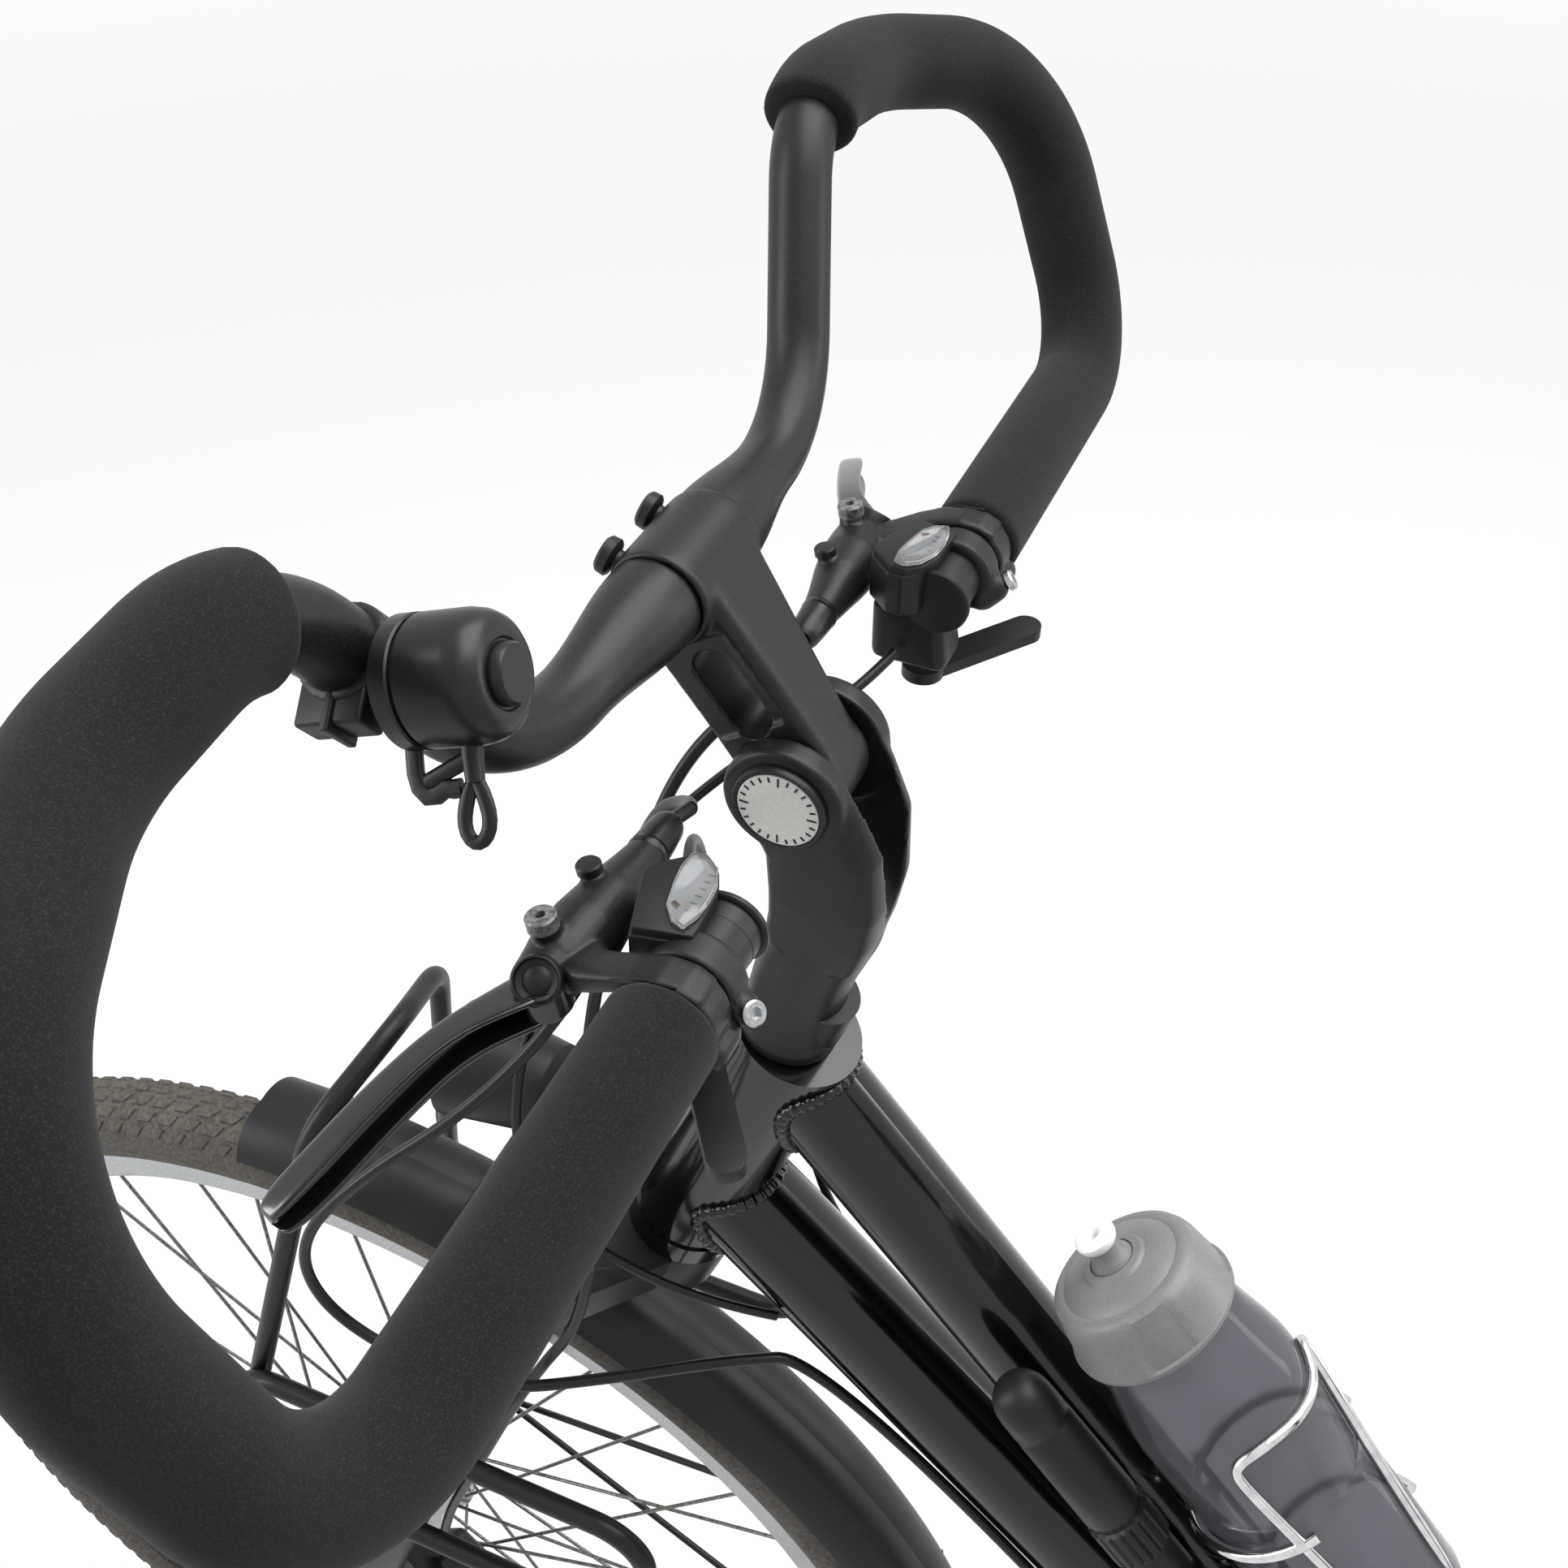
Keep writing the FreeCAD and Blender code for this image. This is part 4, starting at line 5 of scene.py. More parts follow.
import bmesh
import bpy
from bpy.props import FloatProperty, FloatVectorProperty, PointerProperty
from mathutils import Matrix, Vector
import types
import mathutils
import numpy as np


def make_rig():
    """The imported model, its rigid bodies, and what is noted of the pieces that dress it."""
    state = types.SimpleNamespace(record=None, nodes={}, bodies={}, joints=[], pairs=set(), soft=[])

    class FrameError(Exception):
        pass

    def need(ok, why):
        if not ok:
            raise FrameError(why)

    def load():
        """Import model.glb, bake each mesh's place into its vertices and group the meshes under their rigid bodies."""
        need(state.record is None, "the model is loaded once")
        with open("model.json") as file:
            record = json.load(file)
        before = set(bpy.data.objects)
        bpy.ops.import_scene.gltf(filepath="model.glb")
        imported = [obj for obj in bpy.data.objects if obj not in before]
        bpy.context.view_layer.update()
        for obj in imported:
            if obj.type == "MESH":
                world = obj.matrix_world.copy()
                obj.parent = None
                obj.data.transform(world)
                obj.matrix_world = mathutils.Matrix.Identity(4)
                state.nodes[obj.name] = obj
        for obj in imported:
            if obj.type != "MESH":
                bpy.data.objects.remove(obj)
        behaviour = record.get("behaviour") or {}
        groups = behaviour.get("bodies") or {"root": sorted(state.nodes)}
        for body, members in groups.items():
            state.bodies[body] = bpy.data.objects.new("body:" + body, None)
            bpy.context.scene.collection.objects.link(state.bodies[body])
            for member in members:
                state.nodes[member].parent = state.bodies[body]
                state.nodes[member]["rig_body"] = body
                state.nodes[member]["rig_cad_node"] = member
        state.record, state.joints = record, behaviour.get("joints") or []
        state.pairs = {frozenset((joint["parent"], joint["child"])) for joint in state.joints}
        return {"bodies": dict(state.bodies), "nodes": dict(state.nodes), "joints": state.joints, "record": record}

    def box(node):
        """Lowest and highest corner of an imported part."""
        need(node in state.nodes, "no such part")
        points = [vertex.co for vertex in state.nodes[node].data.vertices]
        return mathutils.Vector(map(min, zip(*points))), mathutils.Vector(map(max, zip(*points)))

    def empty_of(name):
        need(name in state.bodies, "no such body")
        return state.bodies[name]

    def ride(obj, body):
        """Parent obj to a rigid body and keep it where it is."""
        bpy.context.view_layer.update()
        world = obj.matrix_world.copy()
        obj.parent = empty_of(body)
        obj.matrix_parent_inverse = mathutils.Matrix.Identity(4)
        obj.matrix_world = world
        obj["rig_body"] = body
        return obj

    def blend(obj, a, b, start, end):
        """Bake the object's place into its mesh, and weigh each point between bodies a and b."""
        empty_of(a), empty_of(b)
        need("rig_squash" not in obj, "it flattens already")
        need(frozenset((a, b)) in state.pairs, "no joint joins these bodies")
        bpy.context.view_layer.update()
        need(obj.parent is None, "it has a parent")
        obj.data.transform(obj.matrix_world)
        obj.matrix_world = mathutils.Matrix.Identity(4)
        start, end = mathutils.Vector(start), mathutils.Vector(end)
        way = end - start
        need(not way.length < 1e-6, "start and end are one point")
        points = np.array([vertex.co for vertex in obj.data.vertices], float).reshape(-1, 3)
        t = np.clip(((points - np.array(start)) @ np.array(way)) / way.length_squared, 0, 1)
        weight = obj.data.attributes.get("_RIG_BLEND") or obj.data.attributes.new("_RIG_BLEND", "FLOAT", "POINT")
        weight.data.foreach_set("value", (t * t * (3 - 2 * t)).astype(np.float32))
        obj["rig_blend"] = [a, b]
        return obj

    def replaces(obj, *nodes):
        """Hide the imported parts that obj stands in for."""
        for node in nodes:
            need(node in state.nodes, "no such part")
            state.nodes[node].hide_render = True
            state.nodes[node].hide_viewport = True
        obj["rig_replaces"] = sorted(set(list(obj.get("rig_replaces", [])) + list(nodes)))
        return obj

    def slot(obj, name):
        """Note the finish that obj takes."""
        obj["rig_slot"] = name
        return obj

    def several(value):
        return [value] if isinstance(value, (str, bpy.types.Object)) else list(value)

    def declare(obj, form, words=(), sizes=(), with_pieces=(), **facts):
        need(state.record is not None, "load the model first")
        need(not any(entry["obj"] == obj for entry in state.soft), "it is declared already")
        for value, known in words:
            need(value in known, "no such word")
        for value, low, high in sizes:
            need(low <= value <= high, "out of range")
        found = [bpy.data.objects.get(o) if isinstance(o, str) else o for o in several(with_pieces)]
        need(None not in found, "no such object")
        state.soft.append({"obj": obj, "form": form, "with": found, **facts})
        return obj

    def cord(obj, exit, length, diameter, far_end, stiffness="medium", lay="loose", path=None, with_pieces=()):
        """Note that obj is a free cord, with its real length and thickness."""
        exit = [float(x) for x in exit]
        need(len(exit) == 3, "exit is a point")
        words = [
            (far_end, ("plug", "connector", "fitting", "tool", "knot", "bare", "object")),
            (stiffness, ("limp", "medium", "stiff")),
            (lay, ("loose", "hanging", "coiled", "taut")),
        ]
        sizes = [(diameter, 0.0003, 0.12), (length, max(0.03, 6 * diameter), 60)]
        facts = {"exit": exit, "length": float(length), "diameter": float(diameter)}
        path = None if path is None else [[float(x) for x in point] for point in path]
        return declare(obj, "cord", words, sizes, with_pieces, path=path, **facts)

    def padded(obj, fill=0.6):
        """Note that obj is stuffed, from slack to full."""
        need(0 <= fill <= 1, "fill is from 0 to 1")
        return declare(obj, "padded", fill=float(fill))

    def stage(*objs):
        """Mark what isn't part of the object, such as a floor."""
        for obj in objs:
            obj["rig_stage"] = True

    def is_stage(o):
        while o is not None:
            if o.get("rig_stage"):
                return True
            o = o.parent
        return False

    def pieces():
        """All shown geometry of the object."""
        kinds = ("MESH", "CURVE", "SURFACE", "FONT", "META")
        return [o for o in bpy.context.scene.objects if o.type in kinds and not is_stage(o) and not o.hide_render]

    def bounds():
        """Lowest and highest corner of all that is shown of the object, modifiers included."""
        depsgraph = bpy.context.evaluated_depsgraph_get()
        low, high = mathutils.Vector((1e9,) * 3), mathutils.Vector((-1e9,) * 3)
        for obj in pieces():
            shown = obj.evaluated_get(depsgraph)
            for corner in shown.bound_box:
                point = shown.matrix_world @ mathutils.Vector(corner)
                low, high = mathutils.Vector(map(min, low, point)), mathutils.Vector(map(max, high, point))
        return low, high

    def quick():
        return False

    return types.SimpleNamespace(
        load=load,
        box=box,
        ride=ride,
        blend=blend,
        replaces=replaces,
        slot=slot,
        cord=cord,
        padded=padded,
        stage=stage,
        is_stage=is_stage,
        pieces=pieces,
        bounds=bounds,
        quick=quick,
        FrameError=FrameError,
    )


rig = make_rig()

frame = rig.load()
CAD_BOX = [list(corner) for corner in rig.bounds()]

bl_info = {
    "name": "Hybrid bicycle",
    "version": (1, 0, 0),
    "blender": (4, 5, 0),
    "location": "View3D > Sidebar > Bicycle",
    "description": "Finishes and fine pieces of a hybrid bicycle, with its studio",
    "category": "Object",
}

MM = 0.001
SIZE_FILE = "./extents.json"
GLOSS_PATCH = 40
SKY_LIGHT = 0.42
WHITE_NEAR, WHITE_FAR = 0.62, 1.0


def srgb(code):
    """Linear colour of an sRGB hex value."""
    shares = [int(code[i:i + 2], 16) / 255 for i in (0, 2, 4)]
    return [s / 12.92 if s <= 0.04045 else ((s + 0.055) / 1.055) ** 2.4 for s in shares]


def opaque(colour):
    """A colour with full alpha, as a shader socket takes it."""
    return (*colour[:3], 1.0)


def mm(point):
    """A point given in millimetres, in metres."""
    return Vector(point) * MM


def add(tree, kind, settings=None, links=None):
    """A node of that kind with its settings; each input is set or linked."""
    node = tree.nodes.new(kind)
    for name, value in (settings or {}).items():
        setattr(node, name, value)
    for name, value in (links or {}).items():
        if isinstance(value, bpy.types.NodeSocket):
            tree.links.new(value, node.inputs[name])
        else:
            node.inputs[name].default_value = value
    return node


def tone_of(tone):
    """The linear colour of a hex value, or of a colour in the finishes' settings."""
    settings = bpy.context.scene.bike_finishes
    return list(getattr(settings, tone)) if hasattr(settings, tone) else srgb(tone)


def chosen_mm(name):
    """A size from the pieces' settings, in millimetres."""
    return round(getattr(bpy.context.scene.bike_sizes, name) / MM, 3)


def surface(name, dark, light, grain, rough, relief, shader, detail=3.0, spread=(0.35, 0.65)):
    """A material whose colour, roughness and height follow one grain."""
    made = bpy.data.materials.new(name)
    made.use_nodes = True
    tree = made.node_tree
    tree.nodes.clear()
    place = add(tree, "ShaderNodeTexCoord").outputs["Object"]
    speck = add(tree, "ShaderNodeTexNoise", links={"Vector": place, "Scale": 1 / (grain * MM),
                                                   "Detail": detail})
    tone = add(tree, "ShaderNodeValToRGB", links={"Fac": speck.outputs["Fac"]})
    tone.color_ramp.elements[0].position, tone.color_ramp.elements[1].position = spread
    tone.color_ramp.elements[0].color = opaque(tone_of(dark))
    tone.color_ramp.elements[1].color = opaque(tone_of(light))
    cloud = add(tree, "ShaderNodeTexNoise", links={"Vector": place, "Scale": 1 / (GLOSS_PATCH * MM),
                                                   "Detail": 2.0})
    gloss = add(tree, "ShaderNodeMapRange", links={"Value": cloud.outputs["Fac"], "From Min": 0.3,
                                                   "From Max": 0.7, "To Min": rough[0], "To Max": rough[1]})
    height = add(tree, "ShaderNodeBump", links={"Height": speck.outputs["Fac"], "Distance": relief * MM,
                                                "Strength": 1.0})
    body = add(tree, "ShaderNodeBsdfPrincipled", links={"Base Color": tone.outputs["Color"],
                                                        "Roughness": gloss.outputs["Result"],
                                                        "Normal": height.outputs["Normal"], **shader})
    add(tree, "ShaderNodeOutputMaterial", links={"Surface": body.outputs["BSDF"]})
    return made


# Each finish: darker and paler tone, grain in millimetres, roughness, relief in millimetres, shader
# settings, and where needed the grain's detail and spread. A tone is a hex value or a colour setting.
FINISHES = {
    # Sprayed enamel under clear lacquer: near-black and mirror-smooth, with a faint orange peel.
    "gloss_black_enamel": ("070708", "frame", 3.0, (0.12, 0.2), 0.01,
                           {"IOR": 1.5, "Specular IOR Level": 0.3, "Coat Weight": 0.25,
                            "Coat Roughness": 0.06}),
    # Bead-blasted and anodised aluminium: dark charcoal with a soft broad sheen and a fine grit.
    "satin_black_anodising": ("121213", "1d1d1e", 0.9, (0.36, 0.44), 0.02,
                              {"IOR": 1.5, "Specular IOR Level": 0.26}),
    # Ground neoprene foam: soot black with very fine paler specks and a dull sheen at the edges.
    "speckled_foam": ("101011", "foam_speck", 0.55, (0.88, 0.96), 0.06,
                      {"IOR": 1.45, "Specular IOR Level": 0.25, "Sheen Weight": 0.05,
                       "Sheen Roughness": 0.6}, 2.0, (0.5, 0.85)),
    # Glass-filled nylon from a spark-eroded mould: black, half matt, faintly pebbled.
    "moulded_black_nylon": ("0e0e0f", "161617", 0.8, (0.38, 0.5), 0.03,
                            {"IOR": 1.53, "Specular IOR Level": 0.28}),
    # Forged aluminium with gloss black paint: deep black with a clean highlight.
    "painted_lever_alloy": ("0a0a0b", "101011", 2.0, (0.2, 0.3), 0.01,
                            {"IOR": 1.5, "Coat Weight": 0.3, "Coat Roughness": 0.1}),
    # Extruded polymer hose: black with a low even gloss along its length.
    "black_hose_sleeve": ("0c0c0d", "131314", 2.5, (0.3, 0.42), 0.01,
                          {"IOR": 1.5, "Specular IOR Level": 0.3}),
    # Polished chromium plate on steel wire and tube: a bright cool mirror.
    "chromed_steel": ("c9cacc", "dedfe0", 6.0, (0.05, 0.12), 0.004, {"Metallic": 1.0}),
    # Machined and lightly brushed aluminium: pale grey with a soft broken highlight.
    "brushed_aluminium": ("a2a4a6", "bcbec0", 1.2, (0.28, 0.38), 0.01, {"Metallic": 1.0}),
    # Rolled steel of chain and sprockets under a film of oil: mid grey, a little brown.
    "oiled_steel": ("5c5a57", "84827e", 1.8, (0.28, 0.42), 0.01, {"Metallic": 1.0}),
    # Vulcanised rubber with road dust rubbed into it: brown grey and quite matt.
    "dusty_tyre_rubber": ("3a3733", "tyre_dust", 2.4, (0.75, 0.9), 0.05, {"IOR": 1.52}),
    # Blow-moulded polyethylene tinted smoke grey: see-through, with a soft gloss.
    "smoke_polyethylene": ("9b9aa0", "bottle", 30.0, (0.08, 0.14), 0.002,
                           {"IOR": 1.12, "Transmission Weight": 0.9}),
    # Injection-moulded polypropylene with a fine eroded texture: mid grey and matt.
    "grey_polypropylene": ("6e6e70", "78787a", 0.8, (0.4, 0.5), 0.015, {"IOR": 1.49}),
    # Moulded white thermoplastic rubber: chalky white with a soft surface.
    "white_soft_rubber": ("e2e2e0", "f0f0ee", 1.0, (0.45, 0.55), 0.02, {"IOR": 1.48}),
    # Embossed vinyl over foam: black, with a leather-like grain and a dull sheen.
    "grained_saddle_vinyl": ("111112", "1e1e1f", 1.4, (0.5, 0.62), 0.1, {"IOR": 1.5}),
    # Moulded red acrylic lens: deep red that glows where light passes.
    "red_lens": ("8f0c12", "lamp", 4.0, (0.08, 0.14), 0.01, {"IOR": 1.49, "Transmission Weight": 0.35}),
    # Painted steel screw, rubbed grey by a spanner: dull with bright scuffs.
    "worn_screw": ("4a4a4b", "8d8c8a", 1.6, (0.35, 0.5), 0.01, {"Metallic": 0.4}, 3.0, (0.35, 0.75)),
    # Injection-moulded clear acrylic: glassy, with a faint haze.
    "clear_acrylic": ("eef0f1", "f8f9fa", 6.0, (0.04, 0.1), 0.004,
                      {"IOR": 1.49, "Transmission Weight": 0.95}),
    # Polished nylon of the bell: black with a broad soft highlight.
    "moulded_bell_black": ("0f0f10", "161617", 1.2, (0.28, 0.38), 0.01,
                           {"IOR": 1.53, "Specular IOR Level": 0.3}),
    # Pale grey enamel on a stamped plate: even, with a half-gloss coat.
    "pale_enamel": ("c4c6c2", "ccceca", 2.0, (0.3, 0.4), 0.01, {"IOR": 1.5}),
}


def finish_named(name):
    """The material of a finish, made once."""
    return bpy.data.materials.get(name) or surface(name, *FINISHES[name])


SLOT_FINISH = {
    "gloss_black_frame": "gloss_black_enamel",
    "satin_black_metal": "satin_black_anodising",
    "black_foam": "speckled_foam",
    "black_plastic": "moulded_black_nylon",
    "black_lever_alloy": "painted_lever_alloy",
    "black_hose": "black_hose_sleeve",
    "chrome_tube": "chromed_steel",
    "silver_alloy": "brushed_aluminium",
    "steel_drive": "oiled_steel",
    "tan_grey_tyre": "dusty_tyre_rubber",
    "smoke_bottle": "smoke_polyethylene",
    "grey_cap": "grey_polypropylene",
    "white_valve": "white_soft_rubber",
    "black_saddle_cover": "grained_saddle_vinyl",
    "red_lamp": "red_lens",
}


def finish_of(slot):
    """The material of a record slot, made once."""
    return finish_named(SLOT_FINISH[slot])


def colour_setting(name, description, code):
    """A colour that a user may change, from its hex value."""
    return FloatVectorProperty(name=name, description=description, default=srgb(code), subtype="COLOR",
                               min=0.0, max=1.0)


def length_setting(name, description, size):
    """A size that a user may change, from its millimetres."""
    return FloatProperty(name=name, description=description, default=size * MM, subtype="DISTANCE",
                         unit="LENGTH")


class FinishSettings(bpy.types.PropertyGroup):
    """Colours of the finishes."""

    frame: colour_setting("Frame", "Paler tone of the frame's enamel", "0b0b0c")
    foam_speck: colour_setting("Foam", "Specks in the foam of the bar", "2e2e30")
    tyre_dust: colour_setting("Tyre", "Dust on the tyres' rubber", "57524b")
    bottle: colour_setting("Bottle", "Paler tone of the bottle's smoke tint", "a3a2a8")
    lamp: colour_setting("Rear lamp", "Paler tone of the red lens", "b3141b")


class SizeSettings(bpy.types.PropertyGroup):
    """Sizes of the pieces."""

    foam_radius: length_setting("Foam radius", "Half the thickness of the foam sleeves", 17.2)
    hose: length_setting("Hose", "Outer diameter of the brake hoses", 5)
    cable: length_setting("Cable", "Outer diameter of the gear cables", 4)
    tread: length_setting("Tread", "Height of the tread blocks over the tyre", 1)


class StudioSettings(bpy.types.PropertyGroup):
    """Camera, floor and light."""

    lens: FloatProperty(name="Lens", description="Focal length of the camera", default=42.16,
                        subtype="DISTANCE_CAMERA")
    floor_colour: colour_setting("Floor", "Colour of the pale floor", "f2f2f1")
    lamp_power: FloatProperty(name="Lamp power", description="Power of the overhead soft box", default=85.0,
                              subtype="POWER", unit="POWER")
    strip_power: FloatProperty(name="Strip power", description="Power of the tall side light", default=40.0,
                               subtype="POWER", unit="POWER")


class BIKE_OT_finish_solids(bpy.types.Operator):
    """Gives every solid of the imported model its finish"""

    bl_idname = "bike.finish_solids"
    bl_label = "Finish the solids"

    def execute(self, context):
        slots = {part["node"]: part["material_slot"] for part in frame["record"]["subparts"]}
        for name, solid in frame["nodes"].items():
            solid.data.materials.clear()
            solid.data.materials.append(finish_of(slots[name]))
        return {"FINISHED"}


# Shape builders: sizes and places in millimetres, meshes in metres


def show(name, mesh, body, slot, finish=None, crease=35.0):
    """Puts a mesh in the scene as a piece that rides a body and wears a finish."""
    mesh.name = name
    piece = bpy.data.objects.new(name, mesh)
    bpy.context.scene.collection.objects.link(piece)
    mesh.materials.clear()
    mesh.materials.append(finish_named(finish) if finish else finish_of(slot))
    mesh.shade_smooth()
    mesh.set_sharp_from_angle(angle=math.radians(crease))
    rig.slot(piece, slot)
    if body:
        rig.ride(piece, body)
    return piece


def rings_mesh(rings, closed=False):
    """A skin over rings of equal count; each ring is a list of points in millimetres."""
    count = len(rings[0])
    points = [tuple(mm(point)) for ring in rings for point in ring]
    faces = []
    last = len(rings) if closed else len(rings) - 1
    for row in range(last):
        low, high = row * count, (row + 1) % len(rings) * count
        faces += [(low + i, low + (i + 1) % count, high + (i + 1) % count, high + i) for i in range(count)]
    if not closed:
        faces += [tuple(reversed(range(count))), tuple(range((len(rings) - 1) * count, len(rings) * count))]
    mesh = bpy.data.meshes.new("skin")
    mesh.from_pydata(points, [], faces)
    shape = bmesh.new()
    shape.from_mesh(mesh)
    bmesh.ops.remove_doubles(shape, verts=shape.verts, dist=0.001 * MM)
    turned_outward(shape)
    shape.to_mesh(mesh)
    shape.free()
    return mesh


def turned_outward(shape):
    """Turns the faces of a closed form so that they look out."""
    bmesh.ops.recalc_face_normals(shape, faces=shape.faces)
    if shape.calc_volume(signed=True) < 0:
        bmesh.ops.reverse_faces(shape, faces=shape.faces)


def square_to(axis):
    """Two unit vectors square to an axis and to each other."""
    first = axis.orthogonal().normalized()
    return first, axis.cross(first).normalized()


def lathe(base, axis, profile, steps=48, flutes=0, flute_depth=0.0, fluted=(0.0, 0.0), closed=False):
    """A turned form: profile rows are (along, radius); flutes groove the rows of the fluted stretch."""
    axis = Vector(axis).normalized()
    first, second = square_to(axis)
    rings = []
    for along, radius in profile:
        ring = []
        for step in range(steps):
            turn = math.tau * step / steps
            grooved = flutes and fluted[0] <= along <= fluted[1] and math.cos(turn * flutes) > 0.3
            reach = radius - (flute_depth if grooved else 0.0)
            ring.append(Vector(base) + axis * along
                        + (first * math.cos(turn) + second * math.sin(turn)) * reach)
        rings.append(ring)
    return rings_mesh(rings, closed)


def oval(steps, power):
    """Points of a unit circle, squared off by a power above two."""
    points = []
    for step in range(steps):
        turn = math.tau * step / steps
        points.append([math.copysign(abs(share) ** (2 / power), share)
                       for share in (math.cos(turn), math.sin(turn))])
    return points


def sweep(points, sizes, up=None, steps=20, closed=False, power=2.0, outline=None):
    """A limb along points; sizes are a radius, or a (side, height) pair of half sizes, for each point."""
    points = [Vector(point) for point in points]
    outline = outline or oval(steps, power)
    count = len(points)
    if not isinstance(sizes, (list, tuple)):
        sizes = [sizes] * count
    rings = []
    carried = None
    for i, point in enumerate(points):
        before = points[i - 1] if i or closed else points[i]
        after = points[(i + 1) % count] if i < count - 1 or closed else points[i]
        heading = (after - before).normalized()
        if up:
            side = heading.cross(Vector(up)).normalized()
        elif carried is None:
            side = heading.orthogonal().normalized()
        else:
            side = (carried - heading * carried.dot(heading)).normalized()
        carried = side
        height = side.cross(heading).normalized()
        wide, tall = sizes[i] if isinstance(sizes[i], (list, tuple)) else (sizes[i], sizes[i])
        rings.append([point + side * across * wide + height * above * tall for across, above in outline])
    return rings_mesh(rings, closed)


def capsule(start, end, start_radius, end_radius, steps=24):
    """A rod with rounded ends that tapers from one radius to the other."""
    start, end = Vector(start), Vector(end)
    axis = (end - start).normalized()
    length = (end - start).length
    quarter = [math.pi / 2 * i / 5 for i in range(6)]
    profile = [(-start_radius * math.cos(a), max(start_radius * math.sin(a), 0.01)) for a in quarter]
    profile += [(length + end_radius * math.cos(a), max(end_radius * math.sin(a), 0.01))
                for a in reversed(quarter)]
    return lathe(start, axis, profile, steps)


def joined(meshes):
    """Several meshes as one."""
    shape = bmesh.new()
    for mesh in meshes:
        shape.from_mesh(mesh)
    whole = bpy.data.meshes.new("joined")
    shape.to_mesh(whole)
    shape.free()
    return whole


def shaped(mesh, *steps):
    """The mesh after modifiers; each step is a kind and its settings."""
    holder = bpy.data.objects.new("shaping", mesh)
    bpy.context.scene.collection.objects.link(holder)
    for kind, settings in steps:
        step = holder.modifiers.new(kind.lower(), kind)
        for name, value in settings.items():
            setattr(step, name, value)
    bpy.context.view_layer.update()
    whole = bpy.data.meshes.new_from_object(holder.evaluated_get(bpy.context.evaluated_depsgraph_get()))
    bpy.data.objects.remove(holder)
    return whole


def softened(mesh, voxel, passes):
    """One closed skin around a form, with its corners eased."""
    return shaped(mesh, ("REMESH", {"mode": "VOXEL", "voxel_size": voxel * MM}),
                  ("SMOOTH", {"factor": 0.5, "iterations": passes}))


def melted(meshes, voxel, passes):
    """One skin around overlapping forms with softened inner corners."""
    return softened(joined(meshes), voxel, passes)


def subdivided(mesh, levels):
    """The mesh with its faces rounded off."""
    return shaped(mesh, ("SUBSURF", {"levels": levels, "render_levels": levels}))


def cut(mesh, *tools):
    """What is left of a mesh where the tools have gone through it."""
    holders, steps = [], []
    for tool in tools:
        holder = bpy.data.objects.new("tool", tool)
        bpy.context.scene.collection.objects.link(holder)
        holders.append(holder)
        steps.append(("BOOLEAN", {"operation": "DIFFERENCE", "solver": "MANIFOLD", "object": holder}))
    left = shaped(mesh, *steps)
    for holder in holders:
        bpy.data.objects.remove(holder)
    return left


def hull(points, bevel):
    """The convex form around points; a bevel rounds its edges."""
    shape = bmesh.new()
    for point in points:
        shape.verts.new(mm(point))
    found = bmesh.ops.convex_hull(shape, input=shape.verts)
    spare = {item for item in found["geom_interior"] + found["geom_unused"]
             if isinstance(item, bmesh.types.BMVert)}
    bmesh.ops.delete(shape, geom=list(spare), context="VERTS")
    bmesh.ops.dissolve_limit(shape, angle_limit=math.radians(4), verts=shape.verts, edges=shape.edges)
    turned_outward(shape)
    mesh = bpy.data.meshes.new("hull")
    shape.to_mesh(mesh)
    shape.free()
    if not bevel:
        return mesh
    return shaped(mesh, ("BEVEL", {"width": bevel * MM, "segments": 3, "limit_method": "ANGLE"}))


def rounded(points, bends, step=4.0):
    """Points along straight runs with a round bend of the given radius at each inner corner."""
    points = [Vector(point) for point in points]
    line = [points[0]]
    marks = []
    for before, corner, after, bend in zip(points, points[1:], points[2:], bends):
        back, ahead = (before - corner).normalized(), (after - corner).normalized()
        half = back.angle(ahead) / 2
        inward = (back + ahead).normalized()
        centre = corner + inward * bend / math.sin(half)
        entry = corner + back * bend / math.tan(half)
        arm = entry - centre
        turn = math.pi - 2 * half
        normal = arm.cross(corner - centre).normalized()
        run = entry - line[-1]
        line += [line[-1] + run * i / math.ceil(run.length / step)
                 for i in range(1, math.ceil(run.length / step))]
        arcs = max(6, math.ceil(turn * bend / step))
        arc = [centre + Matrix.Rotation(turn * i / arcs, 3, normal) @ arm for i in range(arcs + 1)]
        marks.append(len(line) + arcs // 2)
        line += arc
    run = points[-1] - line[-1]
    count = math.ceil(run.length / step)
    line += [line[-1] + run * (i / count) for i in range(1, count + 1)]
    return line, marks


# Places shared by the pieces, in millimetres

CLAMP = Vector((-342.493, 0, 1089.405))
STEM_PIVOT = Vector((-299.293, 0, 1023.905))
GRIP = CLAMP + Vector((55, 0, -54))
STEER_BASE = Vector((-502.714, 0, 334.609))
STEER_UP = Vector((0.34202, 0, 0.93969))
TILT = math.radians(10)
BRAKE_AHEAD = Vector((-math.cos(TILT), 0, -math.sin(TILT)))
BRAKE_UP = Vector((-math.sin(TILT), 0, math.cos(TILT)))
SIDES = (("left", -1), ("right", 1))
BAR_POINTS = ((0, 0, 0), (-4.6, 101, -3.4), (-30.7, 162, 85.6), (-29.8, 229, 79.3), (7.1, 312, 58.1),
              (55, 296, -54), (55, 131, -54))
BAR_BENDS = (60, 44, 90, 66, 45)
STEM_SEAT_RISE = 595.3
HEAD_TUBE_RADIUS = 24.4
BOTTLE_RISE = 68
TYRE_RING, TYRE_HALF = 330, 20
TUBE_START = STEER_BASE + STEER_UP * 578.5
TUBE_ALONG = Vector((0.645458, 0, -0.763796))
TUBE_SQUARE = Vector((0.763796, 0, 0.645458))
